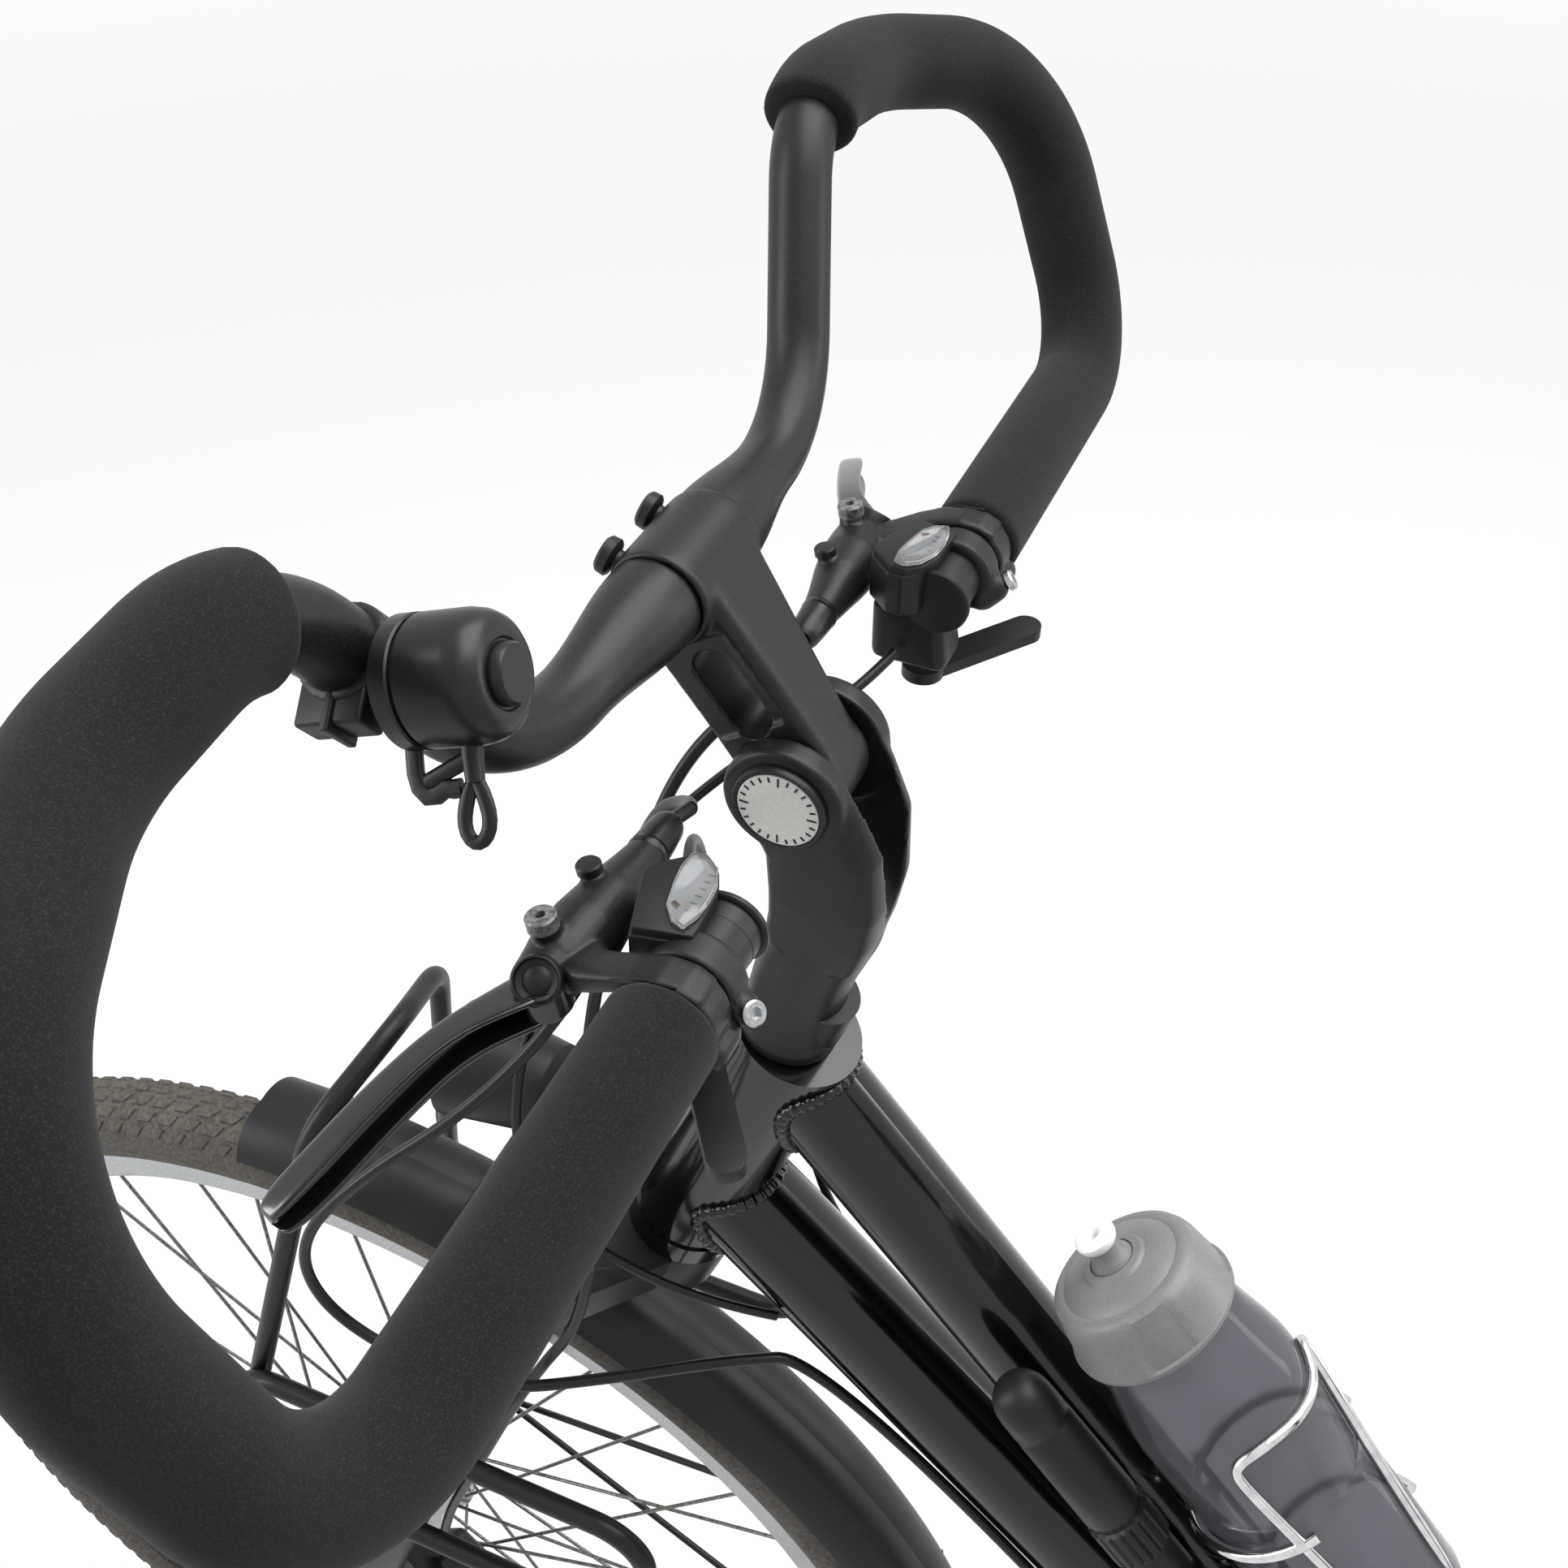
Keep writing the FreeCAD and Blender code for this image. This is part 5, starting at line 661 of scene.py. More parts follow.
LOW_TUBE_START = STEER_BASE + STEER_UP * 488
LOW_TUBE_ALONG = Vector((0.713250, 0, -0.700909))
BELL_SEAT = Vector((-363.78, -140, 1142.906))
BELL_AXIS = Vector((0.942, 0.1, 0.32))
BELL_FOOT = Vector((-346.7, -143.4, 1143.6))


def on_steer(rise, ahead):
    """A place in the steering's plane: above the stem's seat and ahead of the steering axis."""
    return STEER_BASE + STEER_UP * (STEM_SEAT_RISE + rise) + Vector((-STEER_UP.z, 0, STEER_UP.x)) * ahead


def on_brake(side, ahead, out, up):
    """A place in the brake's own frame, turned down about the grip."""
    return GRIP + BRAKE_AHEAD * ahead + BRAKE_UP * up + Vector((0, side * out, 0))


def on_grip(side, x, out, z):
    """A place beside the grip: rearward, outward and upward of its axis."""
    return GRIP + Vector((x, side * out, z))


def on_bottle(along):
    """A place on the bottle's axis, counted down the tube from the head."""
    return TUBE_START + TUBE_ALONG * along + TUBE_SQUARE * BOTTLE_RISE


class BIKE_OT_cords(bpy.types.Operator):
    """Lays the hoses and cables along their routes"""

    bl_idname = "bike.cords"
    bl_label = "Lay the hoses and cables"

    def execute(self, context):
        tube_left = ((-277.9, -23.9, 720.8), (-108.2, -23.9, 554), (18.8, -23.9, 382.6))
        tube_right = ((-282.2, 23.9, 725), (-108.2, 23.9, 554), (27.7, 23.9, 370.6))
        rear = ((-322.3, 42, 1030), (-326, 33, 1026), (-352, 12, 1000), (-364, -6, 950), (-380, -34, 900),
                (-412, -60, 856), (-454, -82, 818), (-482, -93, 776), (-478, -94, 736), (-444, -91, 712),
                (-400, -85, 705), (-356, -64, 712), (-308, -40, 722), *tube_left, (70, -36, 332),
                (112, -43, 317), (165, -42, 307), (217, -45, 307), (436, -67, 340), (464, -66, 372),
                (481, -60, 402))
        gear = ((-300, -84.9, 1012), (-308, -62, 1008), (-328, -34, 992), (-342, -2, 978), (-352, 26, 946),
                (-354, 40, 900), (-340, 46, 850), (-318, 42, 796), *tube_right, (60, 31, 349),
                (97, 31, 345), (120, 20.5, 371))
        shift = ((-300, 84.9, 1012), (-308, 62, 1004), (-336, 34, 990), (-366, 4, 960), (-392, -30, 908),
                 (-399, -50, 854), (-392, -54, 808), (-366, -48, 776), (-326, -38, 752),
                 (-296.5, -23.9, 739))
        front = ((-322.3, -42, 1030), (-326, -33, 1025), (-346, -20, 1004), (-362, -16, 958),
                 (-371, -30, 908), (-368, -50, 850), (-360, -63, 800), (-366, -69, 752), (-388, -69, 706),
                 (-410, -67, 650), (-432, -65, 590), (-466, -62, 500), (-480, -50, 434))
        hose, cable = chosen_mm("hose"), chosen_mm("cable")
        behind_leg = (-372, -74, 708)
        on_frame = [
            *laid("rear_brake_hose", rear, hose, rear[5], "frame", behind_leg, tube_left[0]),
            *laid("gear_cable", gear, cable, gear[4], "frame", None, tube_right[0]),
            *laid("shift_cable", shift, cable, shift[4], "frame", None, shift[-1]),
        ]
        for piece in on_frame:
            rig.replaces(piece, "control_cables")
        for piece in laid("front_brake_hose", front, hose, front[4], "fork_lowers", front[6], front[9]):
            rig.replaces(piece, "front_brake_hose")
        return {"FINISHED"}


def laid(name, route, diameter, split, far_body, start, end):
    """A cord in two lengths: to the split it turns with the stem, and from there with the steering."""
    curve = bpy.data.curves.new(name, "CURVE")
    curve.dimensions = "3D"
    curve.resolution_u = 16
    spline = curve.splines.new("NURBS")
    spline.points.add(len(route) - 1)
    for control, point in zip(spline.points, route):
        control.co = (*mm(point), 1.0)
    spline.order_u = 3
    spline.use_endpoint_u = True
    holder = bpy.data.objects.new(name, curve)
    bpy.context.scene.collection.objects.link(holder)
    line = [vertex.co.copy() for vertex in bpy.data.meshes.new_from_object(holder).vertices]
    bpy.data.objects.remove(holder)
    parting = min(range(len(line)), key=lambda i: (line[i] - mm(split)).length)
    lengths = []
    for label, run in (("upper", line[:parting + 1]), ("lower", line[parting:])):
        mesh = sweep([point / MM for point in run], diameter / 2, steps=14)
        piece = show(name + "_" + label, mesh, None, "black_hose")
        measure = sum((b - a).length for a, b in zip(run, run[1:]))
        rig.cord(piece, exit=run[0], length=measure, diameter=diameter * MM, far_end="object",
                stiffness="stiff", lay="hanging", path=run)
        lengths.append(piece)
    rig.blend(lengths[0], "bar", "steering", line[0], line[parting])
    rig.blend(lengths[1], "steering", far_body, mm(start) if start else line[parting], mm(end))
    return lengths


class BIKE_OT_bar(bpy.types.Operator):
    """Bends the bar's tube, thick in the clamp and slim in the loops"""

    bl_idname = "bike.bar"
    bl_label = "Bend the bar"

    def execute(self, context):
        halves = []
        for side, sign in SIDES:
            points = [CLAMP + Vector((x, sign * out, z)) for x, out, z in (*BAR_POINTS[:-1], (55, 88, -54))]
            halves.append(rounded(points, BAR_BENDS, 3.0)[0])
        line = [*reversed(halves[0]), *halves[1][1:]]
        sizes = []
        for point in line:
            taper = min(max((abs(point.y) - 23) / 46, 0.0), 1.0)
            near = (point - CLAMP).length < 120
            sizes.append(15.9 - 4.8 * taper * taper * (3 - 2 * taper) if near else 11.1)
        piece = show("bar_tube", sweep(line, sizes, steps=36), "bar", "satin_black_metal", crease=60.0)
        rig.replaces(piece, "handlebar")
        return {"FINISHED"}


class BIKE_OT_foam(bpy.types.Operator):
    """Covers the bar's loops with thick foam sleeves"""

    bl_idname = "bike.foam"
    bl_label = "Pull on the foam sleeves"

    def execute(self, context):
        radius, bar, lip = chosen_mm("foam_radius"), 11.4, 3.0
        for side, sign in SIDES:
            points = [CLAMP + Vector((x, sign * out, z)) for x, out, z in BAR_POINTS]
            line, marks = rounded(points, BAR_BENDS, 3.0)
            line = line[marks[1]:]
            start = (line[1] - line[0]).normalized()
            end = (line[-1] - line[-2]).normalized()
            turns = [math.pi / 2 * i / 4 for i in range(5)]
            falls = [0.05 + lip * (1 - math.cos(turn)) for turn in turns]
            rounds = [radius - lip + lip * math.sin(turn) for turn in turns]
            middle = [p for p in line if min((p - line[0]).length, (p - line[-1]).length) > lip * 1.5]
            path = [line[0], *(line[0] + start * fall for fall in falls), *middle,
                    *(line[-1] - end * fall for fall in reversed(falls)), line[-1]]
            sizes = [bar, *rounds, *[radius] * len(middle), *reversed(rounds), bar]
            mesh = sweep(path, sizes, steps=40)
            sleeve = show("foam_sleeve_" + side, mesh, "bar", "black_foam", crease=80.0)
            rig.padded(sleeve, fill=0.9)
            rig.replaces(sleeve, "foam_grips")
        return {"FINISHED"}


class BIKE_OT_stem(bpy.types.Operator):
    """Models the stem: its column, the fork of its joint and the slotted arm"""

    bl_idname = "bike.stem"
    bl_label = "Build the stem"

    def execute(self, context):
        self.column()
        self.arm()
        return {"FINISHED"}

    def column(self):
        """A round column that widens into a fork with a scooped back."""
        low = [(-1, 5, 19.4, 20), (5, 5.6, 19.6, 20.2), (7, 6, 18.8, 19.2), (16, 8, 18.4, 19),
               (28, 10, 18.2, 19.2), (42, 11.2, 18.4, 19.8), (61, 11.8, 19.6, 20.6), (84, 17, 20.6, 21.6)]
        high = [(56, 12, 18.6, 19.6), (70, 13.6, 19.8, 21.4), (84, 17, 20.8, 22.8), (104, 25.4, 21.2, 23.2),
                (114, 35, 21.4, 23.2), (122, 44.6, 21.5, 23.2)]
        limbs = []
        for spine, power in ((low, 2.1), (high, 4.5)):
            rings = [on_steer(rise, ahead) for rise, ahead, _, _ in spine]
            limbs.append(sweep(rings, [(wide, deep) for _, _, deep, wide in spine], (1, 0, 0), 40,
                               power=power))
        eye = [(-23.2, 20), (-22, 21.2), (22, 21.2), (23.2, 20)]
        whole = melted([*limbs, lathe(STEM_PIVOT, (0, 1, 0), eye)], 0.9, 10)
        room = lathe(STEM_PIVOT, (0, 1, 0), [(-14.2, 25.5), (14.2, 25.5)], 64)
        scoop = sweep([(-296, 0, 1050), (-284, 0, 1026), (-276, 0, 1002), (-268, 0, 982), (-262, 0, 962)],
                      [(14.2, 22), (14.2, 20), (13.2, 16), (9, 10), (2, 3)], (1, 0, 0), 32, power=2.6)
        soft = softened(cut(whole, room, scoop), 0.8, 5)
        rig.replaces(show("stem_column", soft, "steering", "satin_black_metal", crease=60.0), "stem_riser")
        bolt = lathe(STEM_PIVOT + Vector((0, 22.6, 0)), (0, 1, 0),
                     [(0, 8), (2, 8), (2.8, 7.2), (2.8, 3.2), (1, 3), (1, 0.01)])
        show("stem_joint_bolt", bolt, "steering", "satin_black_metal")

    def arm(self):
        """The arm from the joint to the bar: flanged at the back, pocketed and slotted at its sides."""
        run = CLAMP - STEM_PIVOT
        along = run.normalized()
        across = Vector((0, 1, 0))
        back = across.cross(along)
        if back.x < 0:
            back = -back
        shares = [0.0, 0.12, 0.3, 0.5, 0.72, 0.9, 1.0]
        wides = [13.2, 13.4, 14.2, 15.6, 17.4, 18.8, 19]
        limb = sweep([STEM_PIVOT + run * share for share in shares], [(wide, 17.4) for wide in wides],
                     tuple(back), 64, power=7.0)
        tip = lathe(STEM_PIVOT, across, [(-13.2, 15.6), (-11.4, 17.4), (11.4, 17.4), (13.2, 15.6)])
        band = lathe(CLAMP, across, [(-21, 16.2), (-20.2, 17.2), (-16.5, 17.4), (16.5, 17.4), (20.2, 17.2),
                                     (21, 16.2)])
        whole = melted([limb, tip, band], 0.9, 5)
        tools = []
        for sign in (-1, 1):
            flank = []
            for share, inner in ((0.3, 12.2), (0.78, 15.6)):
                place = STEM_PIVOT + run * share
                for depth in (-24, 12.6):
                    flank += [place + back * depth + across * sign * inner,
                              place + back * depth + across * sign * 30]
            tools.append(hull(flank, 2.0))
        low, high = STEM_PIVOT + run * 0.36, STEM_PIVOT + run * 0.62
        rim = []
        for centre, way in ((low, -1), (high, 1)):
            for i in range(17):
                turn = math.pi * i / 16
                place = centre + along * way * math.sin(turn) * 7.5 + back * math.cos(turn) * 7.5
                rim += [place - across * 30, place + across * 30]
        tools.append(hull(rim, 0.0))
        tools.append(lathe(CLAMP - across * 30, across, [(0, 15.2), (60, 15.2)], 64))
        soft = softened(cut(whole, *tools), 0.7, 3)
        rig.replaces(show("stem_bar_arm", soft, "bar", "satin_black_metal", crease=60.0), "stem_arm")
        for side, sign in SIDES:
            seat = CLAMP + Vector((-13, sign * 14, 5.5))
            head = [(0, 3.6), (4, 3.6), (4.6, 5.6), (5.4, 6.4), (8.2, 6.2), (9.2, 5.2), (9.6, 3),
                    (9.2, 2.4), (9.2, 0.01)]
            show("clamp_bolt_" + side, lathe(seat, (-0.94, 0, 0.34), head), "bar", "satin_black_metal")


class BIKE_OT_brakes(bpy.types.Operator):
    """Models both brake bodies and their levers"""

    bl_idname = "bike.brakes"
    bl_label = "Build the brakes"

    def execute(self, context):
        for side, sign in SIDES:
            def at(ahead, out, up):
                return on_brake(sign, ahead, out, up)

            chest = [(41.5, 125.5, 2, 9.4), (40, 116, 2.5, 11.4), (38.5, 104, 3, 12), (37.5, 92, 3.5, 10.4),
                     (36.8, 79, 3.5, 8), (36.4, 69, 3.5, 6.4)]
            forms = [capsule(at(*a[:3]), at(*b[:3]), a[3], b[3]) for a, b in zip(chest, chest[1:])]
            forms.append(capsule(at(41, 116, 8), at(42, 118, 15), 5.4, 4.6))
            forms.append(capsule(at(39.6, 91, 8), at(41.4, 91.4, 13.4), 4.2, 3.6))
            strap = [(42, 112, 1), (36, 116, 2.4), (31, 119.5, 4.2), (25, 122.5, 6.6), (17, 124.4, 9.8),
                     (8, 125, 12.4), (0, 125, 13.4), (-7, 125, 12.2), (-12, 125, 9)]
            thick = [(12, 8), (10.5, 6.6), (8.4, 5.2), (6.8, 4.2), (6.2, 3.6), (6.4, 3), (6.4, 2.6),
                     (6.4, 2), (6, 1.6)]
            forms.append(sweep([at(*p) for p in strap], thick, BRAKE_UP, power=4.0))
            clasp = [(0, 13), (0.4, 14.4), (1.2, 15.2), (11.8, 15.2), (12.6, 14.4), (13, 13)]
            forms.append(lathe(at(0, 118.6, 0), (0, sign, 0), clasp))
            forms.append(capsule(at(-11, 121, -10), at(-11, 129, -10), 5.5, 5.5))
            body = show("brake_body_" + side, melted(forms, 0.7, 5), "bar", "black_plastic",
                        "satin_black_anodising")
            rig.replaces(body, "brake_bodies")
            self.fittings(side, sign, at)
            self.lever(side, sign, at)
        return {"FINISHED"}

    def fittings(self, side, sign, at):
        """Bleed screw, plug, pivot cap, raised line of the strap and hose boot."""
        eye = [(0, 4.2), (0.4, 4.8), (4.4, 4.8), (5, 4.3), (5, 1.6), (2, 1.4), (2, 0.01)]
        show("bleed_screw_" + side, lathe(at(42, 118.2, 15.4), BRAKE_UP, eye), "bar", "black_plastic",
             "worn_screw")
        plug = [(0, 3.6), (0.4, 4.0), (3.0, 4.0), (3.6, 3.5), (3.8, 0.01)]
        show("bleed_plug_" + side, lathe(at(41.6, 91.4, 14), BRAKE_UP, plug), "bar", "black_plastic")
        rim = [(-4, 7.4), (1.4, 7.6), (2.2, 7.2), (2.4, 6.6), (1.2, 6.0), (0.2, 3.4), (0.2, 1.2),
               (0.8, 0.9), (0.8, 0.01)]
        facing = BRAKE_UP * 0.66 + Vector((0, 0.68 * sign, 0)) - BRAKE_AHEAD * 0.3
        seat = at(41.5, 125.5, 2) + facing.normalized() * 7.6
        show("pivot_cap_" + side, lathe(seat, facing, rim), "bar", "black_plastic")
        ridge = [(30, 127.4, 7.6), (22, 129, 10.4), (12, 130.2, 13.6), (3, 130.4, 15.6), (-6, 130.4, 14.6)]
        show("strap_line_" + side, sweep([at(*p) for p in ridge], 0.5, steps=8), "bar", "satin_black_metal")
        start, end = at(36.4, 70, 3.5), at(36.6, 52, 3)
        reach = (end - start).length
        profile = [(-1, 5.8), (0, 6.6), (1.2, 6.8), (1.8, 6.8), (2.2, 6.2), (2.8, 6.2), (3.2, 6.6),
                   (9, 6.2), (15, 5.6), (reach - 1, 4.9), (reach, 4.2), (reach, 2.4), (reach - 4, 2.2)]
        show("hose_boot_" + side, lathe(start, end - start, profile), "bar", "black_hose")
        tail = [end - (end - start) * 0.2, end, GRIP + Vector((-34.8, sign * 42, -5.4))]
        show("hose_tail_" + side, sweep(tail, 2.5, steps=14), "bar", "black_hose")

    def lever(self, side, sign, at):
        """A forged blade with a hollow back that droops to its rounded tip."""
        points = [(41, 127, -1), (45, 133, -1), (50, 140, -1), (55.5, 148, -1.5), (60.5, 157, -3),
                  (65.5, 168, -5.6), (71, 181, -9), (76, 194, -13), (80, 203, -15.7), (82.3, 209, -17.3),
                  (83.2, 211.5, -18)]
        wide = [8.6, 7.6, 6.4, 5.4, 5.0, 5.0, 5.2, 5.4, 5.4, 4.6, 3.4]
        tall = [5.4, 5.6, 5.8, 6.2, 6.6, 6.8, 6.8, 6.6, 6.2, 5.4, 4.0]
        outline = [(1, -0.6), (1, 0.6), (0.8, 0.94), (0.5, 1), (-0.8, 1), (-0.96, 0.94), (-1, 0.8),
                   (-0.96, 0.66), (-0.8, 0.6), (0.1, 0.56), (0.3, 0.4), (0.3, -0.4), (0.1, -0.56),
                   (-0.8, -0.6), (-0.96, -0.66), (-1, -0.8), (-0.96, -0.94), (-0.8, -1), (0.5, -1),
                   (0.8, -0.94)]
        outline = [(-sign * across, above) for across, above in outline]
        blade = sweep([at(*p) for p in points], list(zip(wide, tall)), BRAKE_UP, outline=outline)
        blade = subdivided(blade, 1)
        hub = lathe(at(41, 128, -6), BRAKE_UP, [(0, 7.6), (0.8, 8.4), (9.8, 8.4), (10.6, 7.6)])
        piece = show("brake_blade_" + side, joined([blade, hub]), side + "_brake_lever",
                     "black_lever_alloy")
        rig.replaces(piece, "brake_lever_" + side)


class BIKE_OT_shifters(bpy.types.Operator):
    """Models the gear shifters with their indicator windows, and the bar's end plugs"""

    bl_idname = "bike.shifters"
    bl_label = "Build the shifters"

    def execute(self, context):
        for side, sign in SIDES:
            def at(x, out, z):
                return on_grip(sign, x, out, z)

            def slab(outline, low, high, bevel):
                return hull([at(x, out, z) for x, out in outline for z in (low, high)], bevel)

            plug = [(0, 0.01), (0, 10.6), (0.5, 12.4), (1.2, 12.9), (2.4, 12.9), (3.0, 12.2), (3.2, 11.3),
                    (9, 11.2)]
            show("bar_plug_" + side, lathe(at(0, 87.4, 0), (0, sign, 0), plug), "bar", "black_plastic")
            ring = [(0, 12), (0.6, 14.2), (1.4, 14.8), (10.6, 14.8), (11.6, 14.2), (12, 12)]
            under = [(-24, 88, -32), (6, 88, -32), (6, 110, -32), (-24, 110, -32), (-25, 90, -6),
                     (2, 92, -9), (2, 110, -9), (-25, 110, -6)]
            forms = [lathe(at(0, 106, 0), (0, sign, 0), ring), hull([at(*p) for p in under], 4.0),
                     capsule(at(11, 111, -7), at(14.5, 113, -4.6), 6.4, 5.8)]
            case = show("shifter_case_" + side, melted(forms, 0.8, 5), "bar", "black_plastic")
            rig.replaces(case, "shifter_bodies")
            roof = [(-17.9, 114.8), (-24.9, 93.5), (-24.3, 89.3), (-15.4, 81.6), (-9.8, 81), (-4.6, 85),
                    (-1.4, 93.5), (-0.6, 111.4), (-7.9, 113)]
            ledge = [(x * 1.02 - 0.4, 98 + (out - 98) * 1.05) for x, out in roof]
            pod = joined([slab(roof, 10, 16, 0.7), slab(ledge, -4, 13.2, 1.0)])
            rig.replaces(show("shifter_pod_" + side, pod, "bar", "black_plastic", crease=25.0),
                        "shifter_bodies")
            self.window(side, slab)
            head = [(0, 3.9), (2, 3.9), (2.6, 3.3), (2.6, 1.9), (0.8, 1.7), (0.8, 0.01)]
            screw = lathe(at(18.8, 115.4, -2.4), Vector((0.75, sign * 0.35, 0.55)), head, 32)
            show("clamp_screw_" + side, screw, "bar", "silver_alloy")
        return {"FINISHED"}

    def window(self, side, slab):
        """The clear lens over the gear scale, with its red pointer and plain ticks."""
        edge = [(-14.4, 82.4), (-10, 81.4), (-5, 85), (-1.8, 92), (-1.2, 99), (-1.6, 105), (-3.6, 111.2),
                (-8.4, 109.4), (-12, 104.6), (-14, 96), (-15, 89)]
        middle = (-9, 96)
        inner = [tuple(m + (e - m) * 0.86 for e, m in zip(point, middle)) for point in edge]
        show("scale_plate_" + side, slab(inner, 15.4, 16.2, 0.1), "bar", "grey_cap")
        pointer = [(-11.4, 103), (-8.6, 104.4), (-8.4, 102.6), (-10.6, 101.4)]
        show("scale_pointer_" + side, slab(pointer, 15.6, 16.6, 0.15), "bar", "red_lamp")
        ticks = [slab([(-4.6, out), (-6.6, out), (-6.6, out + 0.5), (-4.6, out + 0.5)], 15.8, 16.35, 0.05)
                 for out in (88, 91, 94, 97, 100, 103)]
        show("scale_ticks_" + side, joined(ticks), "bar", "black_plastic")
        show("scale_window_" + side, slab(edge, 16.6, 18.4, 0.8), "bar", "black_plastic", "clear_acrylic")


class BIKE_OT_bell(bpy.types.Operator):
    """Models the bell with its clamp and hooked striker"""

    bl_idname = "bike.bell"
    bl_label = "Build the bell"

    def execute(self, context):
        dome = [(0, 0.01), (0, 15.8), (0.7, 16.6), (5.2, 16.6), (5.7, 16.1), (5.7, 15.4), (6.7, 15.4),
                (6.7, 16.1), (7.2, 16.5), (20, 16.5), (23.6, 15.9), (26.2, 14.6), (27.8, 12.6),
                (28.4, 10.6), (28.2, 9.0), (27.6, 8.4), (27.6, 7.9), (30.4, 7.6), (31.2, 7.0), (31.4, 0.01)]
        piece = show("bell_dome", lathe(BELL_FOOT, BELL_AXIS, dome, 64), "bar", "black_plastic",
                     "moulded_bell_black")
        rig.replaces(piece, "bell")
        along = Vector((-0.235114, -0.5495, 0.80173))
        band = lathe(BELL_SEAT - along * 6, along, [(0, 11.6), (0.6, 13.2), (11.4, 13.2), (12, 11.6)])
        neck = capsule(BELL_SEAT + BELL_AXIS * 6, BELL_FOOT + BELL_AXIS * 1, 7.5, 8.5)
        below = -along.cross(BELL_AXIS).normalized()
        block = [BELL_SEAT + BELL_AXIS * ahead + along * aside + below * fall for ahead in (-11, 9)
                 for aside in (-5, 5) for fall in (6, 19)]
        lip = [BELL_SEAT + BELL_AXIS * ahead + along * aside + below * fall for ahead in (-2, 0.6)
               for aside in (-6, 6) for fall in (8, 21)]
        clasp = joined([melted([band, neck], 0.8, 3), hull(block, 1.2), hull(lip, 0.6)])
        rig.replaces(show("bell_clasp", clasp, "bar", "black_plastic"), "bell")
        self.striker()
        return {"FINISHED"}

    def striker(self):
        """A hooked spring arm that carries a drop-shaped ring."""
        down = Vector((0.314, -0.591, -0.741)).normalized()
        edge = BELL_AXIS.cross(down)

        def at(ahead, fall):
            return BELL_FOOT + BELL_AXIS * ahead + down * fall

        hook = [(1.2, 14), (1.2, 18), (1.4, 22), (2.4, 25.4), (4.6, 27.6), (7.6, 27.4), (9.8, 26),
                (12, 26.2), (14.4, 26)]
        arm = sweep([at(*p) for p in hook], [(2.4, 1.1)] * len(hook), edge, 14, power=3.0)
        stay = sweep([at(3, 25), at(9, 22.4), at(15.6, 19.6)], [(2.2, 0.8)] * 3, edge, 12)
        tongue = sweep([at(17.6, 14), at(17.8, 19), at(18.2, 25)], [(2.4, 2.6), (2.4, 2.4), (2.2, 2.0)],
                       edge, 16, power=3.0)
        drop = [(18.2, 23.4), (20.2, 27.5), (21.8, 32), (21.9, 36), (20, 39), (17.4, 39.6), (15, 37),
                (14.6, 33), (15.8, 28.5), (17, 25)]
        loop = sweep([at(*p) for p in drop], [(2.2, 1.2)] * len(drop), edge, 14, closed=True)
        loop = subdivided(loop, 1)
        piece = show("striker_ring", joined([arm, stay, tongue, loop]), "striker", "black_plastic",
                     crease=60.0)
        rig.replaces(piece, "bell_striker")


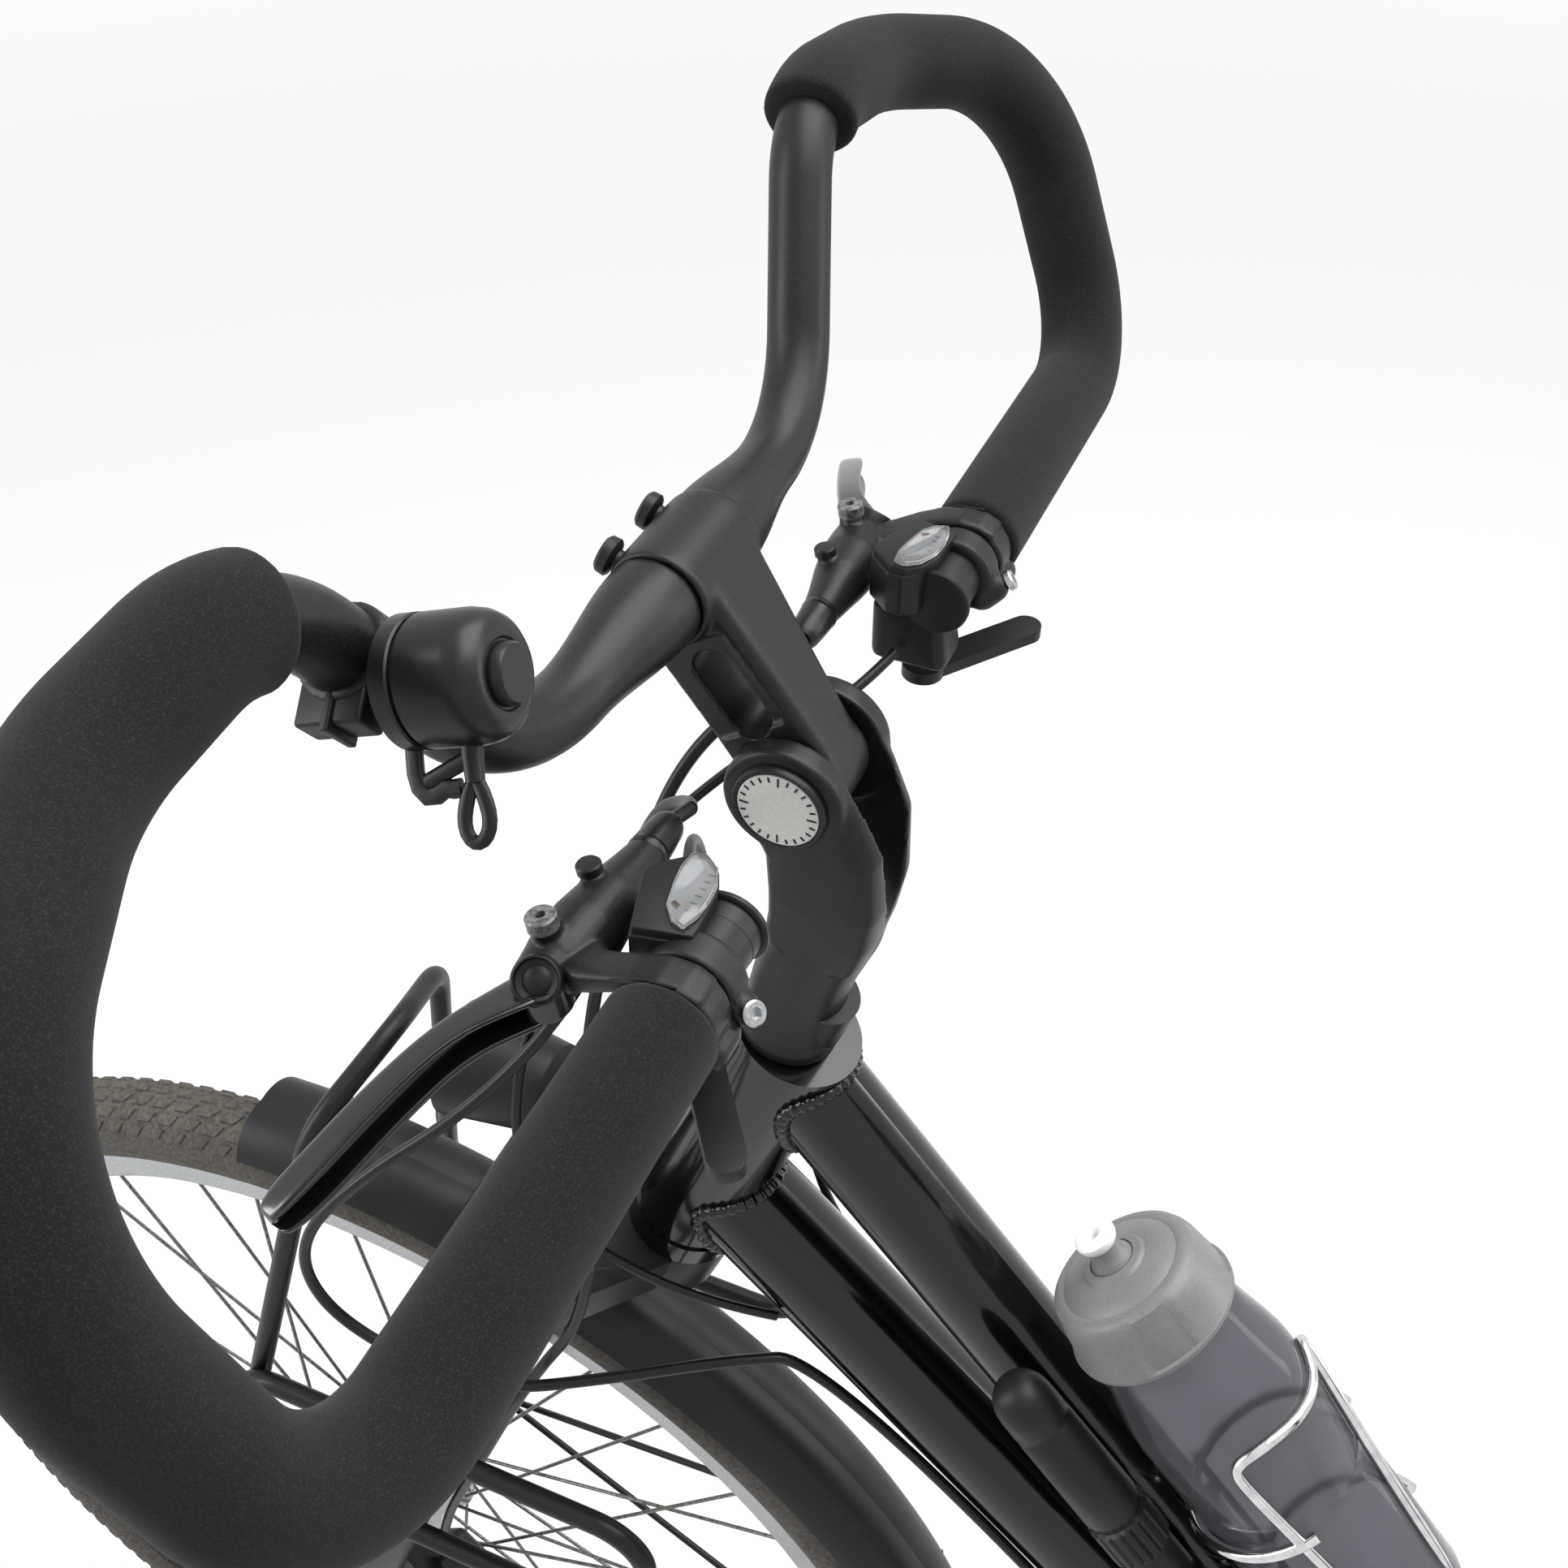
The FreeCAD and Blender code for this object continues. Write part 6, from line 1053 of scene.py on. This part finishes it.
class BIKE_OT_bottle(bpy.types.Operator):
    """Models the drinking bottle with its cap, nozzle and wire, and the pump beside it"""

    bl_idname = "bike.bottle"
    bl_label = "Build the bottle and pump"

    def execute(self, context):
        outer = [(148, 29.6), (161, 30), (166, 30.8), (176, 32), (188, 34.4), (196, 36), (202, 36.8),
                 (206, 37), (252, 37), (256, 34.6), (264, 34.6), (268, 37), (340, 37), (346, 35.8),
                 (349.6, 32), (350, 28), (350, 1)]
        inner = [(along - 1.4 if along > 349 else along, max(radius - 1.3, 1)) for along,
                 radius in reversed(outer)]
        flask = lathe(on_bottle(0), TUBE_ALONG, outer + inner, 72, closed=True)
        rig.replaces(show("flask", flask, "frame", "smoke_bottle"), "bottle")
        cap = [(161, 30.4), (161, 34), (160.4, 35), (158.6, 35.2), (158, 34.8), (145, 33), (140, 31.6),
               (137, 30), (135.4, 28), (134.8, 25.8), (135.2, 24.6), (134.6, 23.8), (133, 21.5), (132, 18),
               (131.4, 13.5), (130.2, 12.4), (129.6, 9.4), (130.4, 9), (130.4, 0.01)]
        cap = lathe(on_bottle(0), TUBE_ALONG, cap, 96, 4, 1.1, (139, 158.2))
        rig.replaces(show("flask_cap", cap, "frame", "grey_cap"), "bottle_cap")
        neck = [(130.6, 8.8), (129.4, 8.6), (127.6, 7.4), (125, 6.6), (121.4, 6.6), (120.8, 6)]
        show("nozzle_neck", lathe(on_bottle(0), TUBE_ALONG, neck, 48), "valve", "grey_cap")
        nozzle = [(121.4, 6.8), (120.4, 7.6), (118.6, 8.4), (117.2, 8.4), (116.3, 7.6), (116, 6.6),
                  (116, 3.2), (116.8, 2.6), (121, 2.4), (121, 0.01)]
        nozzle = show("drinking_nozzle", lathe(on_bottle(0), TUBE_ALONG, nozzle, 48), "valve",
                      "white_valve")
        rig.replaces(nozzle, "bottle_valve")
        self.wire()
        self.pump()
        return {"FINISHED"}

    def wire(self):
        """The chromed hoop of the cage: down both sides and across the front of the bottle."""
        path = [(332, 2), (278, 9), (253, 15.4), (230, 24), (215, 34), (209, 37), (207, 33), (211, 22),
                (214, 8), (213, -12), (210, -30), (208, -48), (208, -60), (211, -66), (218, -67),
                (244, -63.5), (272, -59), (332, -52)]
        line = []
        for along, degrees in path:
            turn = math.radians(degrees)
            line.append(on_bottle(along) + (TUBE_SQUARE * math.cos(turn)
                                            + Vector((0, math.sin(turn), 0))) * 39)
        mesh = subdivided(sweep(line, 2.5, steps=12), 2)
        show("cage_hoop", mesh, "frame", "chrome_tube", crease=80.0)

    def pump(self):
        """A slim pump with a domed handle, a ribbed collar and its clip."""
        base = TUBE_START + TUBE_SQUARE * 20 + Vector((0, -38, 0))
        handle = [(148, 0.01), (148.4, 4), (150, 7.6), (153, 10.2), (157, 11.8), (161, 12.2), (170, 12.4),
                  (171, 11.8), (173, 11.8), (174, 12.4), (222, 12.8), (225, 11.8), (227, 11.8), (228, 13.6),
                  (246, 13.6), (247, 11.4), (300, 11.4), (383, 11.4), (384, 10.4), (384, 0.01)]
        handle = lathe(base, TUBE_ALONG, handle, 72, 18, 0.9, (227.5, 246.5))
        clip = [(272, 11.5), (272, 13.4), (273, 14), (276, 14), (277, 13.2), (289, 13.2), (290, 14),
                (293, 14), (294, 13.4), (294, 11.5)]
        start = base + TUBE_ALONG * 283
        arm = sweep([start, start - TUBE_SQUARE * 8 + Vector((0, 14, 0)),
                     start - TUBE_SQUARE * 16 + Vector((0, 24, 0))], [(6, 9), (5, 8), (5, 9)], TUBE_ALONG,
                    20, power=4.0)
        pump = show("hand_pump", joined([handle, lathe(base, TUBE_ALONG, clip), arm]), "frame",
                    "black_plastic")
        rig.replaces(pump, "pump")


class BIKE_OT_frame_details(bpy.types.Operator):
    """Adds weld beads, the stem's dial and softened edges"""

    bl_idname = "bike.frame_details"
    bl_label = "Add the frame's details"

    def execute(self, context):
        self.weld("top_tube_weld", TUBE_START, TUBE_ALONG, 21.0)
        self.weld("down_tube_weld", LOW_TUBE_START, LOW_TUBE_ALONG, 23.5)
        self.dial()
        widths = {"fork_crown": 2.0, "shift_lever_left": 1.4, "shift_lever_right": 1.4, "crank_arms": 2.0,
                  "pedal_left": 1.0, "pedal_right": 1.0, "front_brake_caliper": 1.6,
                  "rear_brake_caliper": 1.6, "headlight": 2.0, "rear_derailleur": 0.8}
        for node, width in widths.items():
            solid = frame["nodes"][node]
            weld = solid.modifiers.new("weld", "WELD")
            weld.merge_threshold = 0.02 * MM
            edge = solid.modifiers.new("edge", "BEVEL")
            edge.width = width * MM
            edge.segments = 3
            edge.limit_method = "ANGLE"
            edge.angle_limit = math.radians(40)
            edge.use_clamp_overlap = True
        return {"FINISHED"}

    def weld(self, name, start, along, radius):
        """A rippled bead where a tube meets the head tube."""
        across = Vector((0, 1, 0))
        square = along.cross(across)
        line, sizes = [], []
        for i in range(160):
            turn = math.tau * i / 160
            rim = start + (square * math.cos(turn) + across * math.sin(turn)) * (radius + 0.4)
            off = rim - STEER_BASE
            flat = off - STEER_UP * off.dot(STEER_UP)
            slide = along - STEER_UP * along.dot(STEER_UP)
            a, b, c = slide.dot(slide), flat.dot(slide), flat.dot(flat) - HEAD_TUBE_RADIUS ** 2
            line.append(rim + along * ((-b + math.sqrt(max(b * b - a * c, 0.0))) / a))
            sizes.append(3.0 + 0.5 * math.cos(turn * 40))
        show(name, sweep(line, sizes, steps=12, closed=True), "frame", "gloss_black_frame", crease=80.0)

    def dial(self):
        """The round cover of the stem's joint: a pale plate in a dark rim with plain ticks."""
        base = STEM_PIVOT + Vector((0, -23.2, 0))
        rim = [(0, 16.4), (1.6, 16.4), (2.6, 15.8), (2.6, 14.8), (2.0, 14.4), (2.0, 0.01)]
        show("dial_rim", lathe(base, (0, -1, 0), rim, 64), "steering", "satin_black_metal")
        plate = [(1.9, 14.3), (2.3, 14.1), (2.5, 10), (2.6, 0.01)]
        show("dial_plate", lathe(base, (0, -1, 0), plate, 64), "steering", "silver_alloy", "pale_enamel")
        ticks = []
        for i in range(24):
            turn = math.tau * i / 24
            arm = Vector((math.cos(turn), 0, math.sin(turn)))
            inner = 10.4 if i % 6 == 0 else 11.8
            ticks.append(capsule(base + arm * inner + Vector((0, -2.45, 0)),
                                 base + arm * 13.2 + Vector((0, -2.35, 0)), 0.35, 0.35, 8))
        show("dial_ticks", joined(ticks), "steering", "satin_black_metal")


class BIKE_OT_treads(bpy.types.Operator):
    """Raises the tread blocks of both tyres"""

    bl_idname = "bike.treads"
    bl_label = "Cut the treads"

    def execute(self, context):
        for wheel in ("front", "rear"):
            low, high = [Vector(corner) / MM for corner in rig.box(wheel + "_tyre")]
            show(wheel + "_tread", self.blocks((low + high) / 2), wheel + "_wheel", "tan_grey_tyre",
                 crease=20.0)
        return {"FINISHED"}

    def blocks(self, axle):
        """Six staggered rows of slanted blocks over the tyre's crown."""
        points, faces = [], []
        corners = ((-1, -1), (1, -1), (1, 1), (-1, 1))
        count, length, width = 150, math.radians(0.78), 8.5
        for row, lean in enumerate((-56, -34, -11.5, 11.5, 34, 56)):
            for i in range(count):
                middle = math.tau * (i + 0.5 * (row % 2)) / count
                first = len(points)
                for lift, slim in ((-0.5, 1.0), (chosen_mm("tread"), 0.8)):
                    round_tyre = TYRE_HALF + lift
                    for across, aside in corners:
                        slant = 0.35 * aside * (1 if lean > 0 else -1)
                        turn = middle + length * (across * slim + slant)
                        tip = math.radians(lean + width * aside * slim)
                        reach = TYRE_RING + round_tyre * math.cos(tip)
                        ahead, rise = math.cos(turn) * reach, math.sin(turn) * reach
                        points.append(mm(axle + Vector((ahead, math.sin(tip) * round_tyre, rise))))
                faces.append(tuple(first + 4 + k for k in range(4)))
                for k in range(4):
                    after = (k + 1) % 4
                    faces.append((first + k, first + after, first + 4 + after, first + 4 + k))
        mesh = bpy.data.meshes.new("tread")
        mesh.from_pydata(points, [], faces)
        shape = bmesh.new()
        shape.from_mesh(mesh)
        bmesh.ops.recalc_face_normals(shape, faces=shape.faces)
        shape.to_mesh(mesh)
        shape.free()
        return mesh


class BIKE_OT_saddle(bpy.types.Operator):
    """Pads the saddle: its cover is blown up a little over the foam"""

    bl_idname = "bike.saddle"
    bl_label = "Pad the saddle"

    def execute(self, context):
        solid = frame["nodes"]["saddle_pad"]
        mesh = shaped(solid.data.copy(), ("REMESH", {"mode": "VOXEL", "voxel_size": 5 * MM}))
        rest = [vertex.co.copy() for vertex in mesh.vertices]
        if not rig.quick():
            mesh = self.inflated(mesh)
        for vertex, place in zip(mesh.vertices, rest):
            moved = vertex.co - place
            if moved.length > 3 * MM:
                vertex.co = place + moved.normalized() * 3 * MM
        mesh = subdivided(mesh, 1)
        cover = show("saddle_cover", mesh, "seat", "black_saddle_cover", crease=80.0)
        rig.padded(cover, fill=0.7)
        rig.replaces(cover, "saddle_pad")
        return {"FINISHED"}

    def inflated(self, mesh):
        """The cover after twenty frames of gentle pressure."""
        scene = bpy.context.scene
        holder = bpy.data.objects.new("cover_cloth", mesh)
        scene.collection.objects.link(holder)
        cloth = holder.modifiers.new("cloth", "CLOTH")
        cloth.settings.use_pressure = True
        cloth.settings.uniform_pressure_force = 4.0
        cloth.settings.effector_weights.gravity = 0.0
        cloth.point_cache.frame_start, cloth.point_cache.frame_end = 1, 20
        for moment in range(1, 21):
            scene.frame_set(moment)
        blown = bpy.data.meshes.new_from_object(holder.evaluated_get(bpy.context.evaluated_depsgraph_get()))
        bpy.data.objects.remove(holder)
        scene.frame_set(1)
        return blown


class BIKE_OT_studio(bpy.types.Operator):
    """Camera of the picture, pale floor, white surroundings and soft light"""

    bl_idname = "bike.studio"
    bl_label = "Set up the studio"

    def execute(self, context):
        settings = context.scene.bike_studio
        right = Vector((0.9191, 0.3937, 0.0147))
        up = Vector((-0.2674, 0.5961, 0.7571))
        back = Vector((0.2893, -0.6998, 0.6531))
        lens = bpy.data.cameras.new("picture_camera")
        lens.lens = settings.lens
        lens.sensor_width = 36.0
        lens.clip_start = 0.02
        camera = bpy.data.objects.new("picture_camera", lens)
        turn = Matrix((right, up, back)).transposed().to_4x4()
        camera.matrix_world = Matrix.Translation(mm((-129.8, -430.5, 1414.05))) @ turn
        context.scene.collection.objects.link(camera)
        context.scene.camera = camera
        floor_mesh = bpy.data.meshes.new("studio_floor")
        reach = 30.0
        floor_mesh.from_pydata([(-reach, -reach, 0), (reach, -reach, 0), (reach, reach, 0),
                                (-reach, reach, 0)], [], [(0, 1, 2, 3)])
        floor = bpy.data.objects.new("studio_floor", floor_mesh)
        context.scene.collection.objects.link(floor)
        floor_mesh.materials.append(floor_paint(settings.floor_colour))
        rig.stage(floor)
        self.lamp("soft_box", (0.3, 0.6, 3.0), (2.2, 2.2), settings.lamp_power)
        self.lamp("side_strip", (-2.4, -1.2, 1.7), (0.5, 2.6), settings.strip_power)
        self.lamp("rear_strip", (2.2, 1.6, 1.9), (0.4, 2.4), settings.strip_power * 0.6)
        paint_world(context)
        context.scene.view_settings.view_transform = "Standard"
        return {"FINISHED"}

    def lamp(self, name, place, size, power):
        """A soft rectangular light that faces the bicycle."""
        box = bpy.data.lights.new(name, "AREA")
        box.shape = "RECTANGLE"
        box.size, box.size_y = size
        box.energy = power
        lamp = bpy.data.objects.new(name, box)
        lamp.location = place
        lamp.rotation_euler = (Vector(place) - mm((-250, 0, 900))).to_track_quat("Z", "Y").to_euler()
        bpy.context.scene.collection.objects.link(lamp)


def seen_share(tree):
    """One where a camera, glossy or glass ray arrives, so that the pale surroundings show there."""
    path = add(tree, "ShaderNodeLightPath")
    share = path.outputs["Is Camera Ray"]
    for ray in ("Is Glossy Ray", "Is Transmission Ray"):
        either = add(tree, "ShaderNodeMath", {"operation": "MAXIMUM"})
        tree.links.new(share, either.inputs[0])
        tree.links.new(path.outputs[ray], either.inputs[1])
        share = either.outputs[0]
    return share


def floor_paint(colour):
    """White studio paint that keeps a soft shadow near the bicycle and fades to white far off."""
    made = bpy.data.materials.new("pale_studio_paint")
    made.use_nodes = True
    tree = made.node_tree
    tree.nodes.clear()
    paint = add(tree, "ShaderNodeBsdfDiffuse", links={"Color": opaque(colour)})
    white = add(tree, "ShaderNodeEmission", links={"Color": (1, 1, 1, 1), "Strength": 1.0})
    place = add(tree, "ShaderNodeNewGeometry").outputs["Position"]
    reach = add(tree, "ShaderNodeVectorMath", {"operation": "LENGTH"})
    tree.links.new(place, reach.inputs[0])
    fade = add(tree, "ShaderNodeMapRange", links={"Value": reach.outputs["Value"], "From Min": 1.2,
                                                  "From Max": 5.0, "To Min": WHITE_NEAR,
                                                  "To Max": WHITE_FAR})
    share = add(tree, "ShaderNodeMath", {"operation": "MULTIPLY"})
    tree.links.new(seen_share(tree), share.inputs[0])
    tree.links.new(fade.outputs["Result"], share.inputs[1])
    mixed = add(tree, "ShaderNodeMixShader", links={"Fac": share.outputs[0]})
    tree.links.new(paint.outputs[0], mixed.inputs[1])
    tree.links.new(white.outputs[0], mixed.inputs[2])
    add(tree, "ShaderNodeOutputMaterial", links={"Surface": mixed.outputs[0]})
    return made


def paint_world(context):
    """Even sky light, white where it is seen."""
    world = bpy.data.worlds.new("studio_white")
    context.scene.world = world
    world.use_nodes = True
    tree = world.node_tree
    tree.nodes.clear()
    light = add(tree, "ShaderNodeBackground", links={"Color": (1, 1, 1, 1), "Strength": SKY_LIGHT})
    seen = add(tree, "ShaderNodeBackground", links={"Color": (1, 1, 1, 1), "Strength": 1.0})
    mixed = add(tree, "ShaderNodeMixShader", links={"Fac": seen_share(tree)})
    tree.links.new(light.outputs[0], mixed.inputs[1])
    tree.links.new(seen.outputs[0], mixed.inputs[2])
    add(tree, "ShaderNodeOutputWorld", links={"Surface": mixed.outputs[0]})


OPERATORS = (BIKE_OT_finish_solids, BIKE_OT_cords, BIKE_OT_bar, BIKE_OT_foam, BIKE_OT_stem, BIKE_OT_brakes,
             BIKE_OT_shifters, BIKE_OT_bell, BIKE_OT_bottle, BIKE_OT_frame_details, BIKE_OT_treads,
             BIKE_OT_saddle, BIKE_OT_studio)


class BIKE_PT_workshop(bpy.types.Panel):
    """Lists the bicycle's pieces and studio"""

    bl_idname = "BIKE_PT_workshop"
    bl_label = "Hybrid bicycle"
    bl_space_type = "VIEW_3D"
    bl_region_type = "UI"
    bl_category = "Bicycle"

    def draw(self, context):
        for name, group in GROUPS.items():
            for setting in group.__annotations__:
                self.layout.prop(getattr(context.scene, name), setting)
        for operator in OPERATORS:
            self.layout.operator(operator.bl_idname)


GROUPS = {"bike_finishes": FinishSettings, "bike_sizes": SizeSettings, "bike_studio": StudioSettings}


def register():
    for kind in (*GROUPS.values(), *OPERATORS, BIKE_PT_workshop):
        bpy.utils.register_class(kind)
    for name, group in GROUPS.items():
        setattr(bpy.types.Scene, name, PointerProperty(type=group))


def unregister():
    for name in GROUPS:
        delattr(bpy.types.Scene, name)
    for kind in reversed((*GROUPS.values(), *OPERATORS, BIKE_PT_workshop)):
        bpy.utils.unregister_class(kind)


def main():
    register()
    for operator in OPERATORS:
        getattr(bpy.ops.bike, operator.bl_idname.split(".")[1])()
    with open(SIZE_FILE, "w") as sizes:
        json.dump({"cad": CAD_BOX, "visual": [list(corner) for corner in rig.bounds()]}, sizes)


if __name__ == "__main__":
    main()
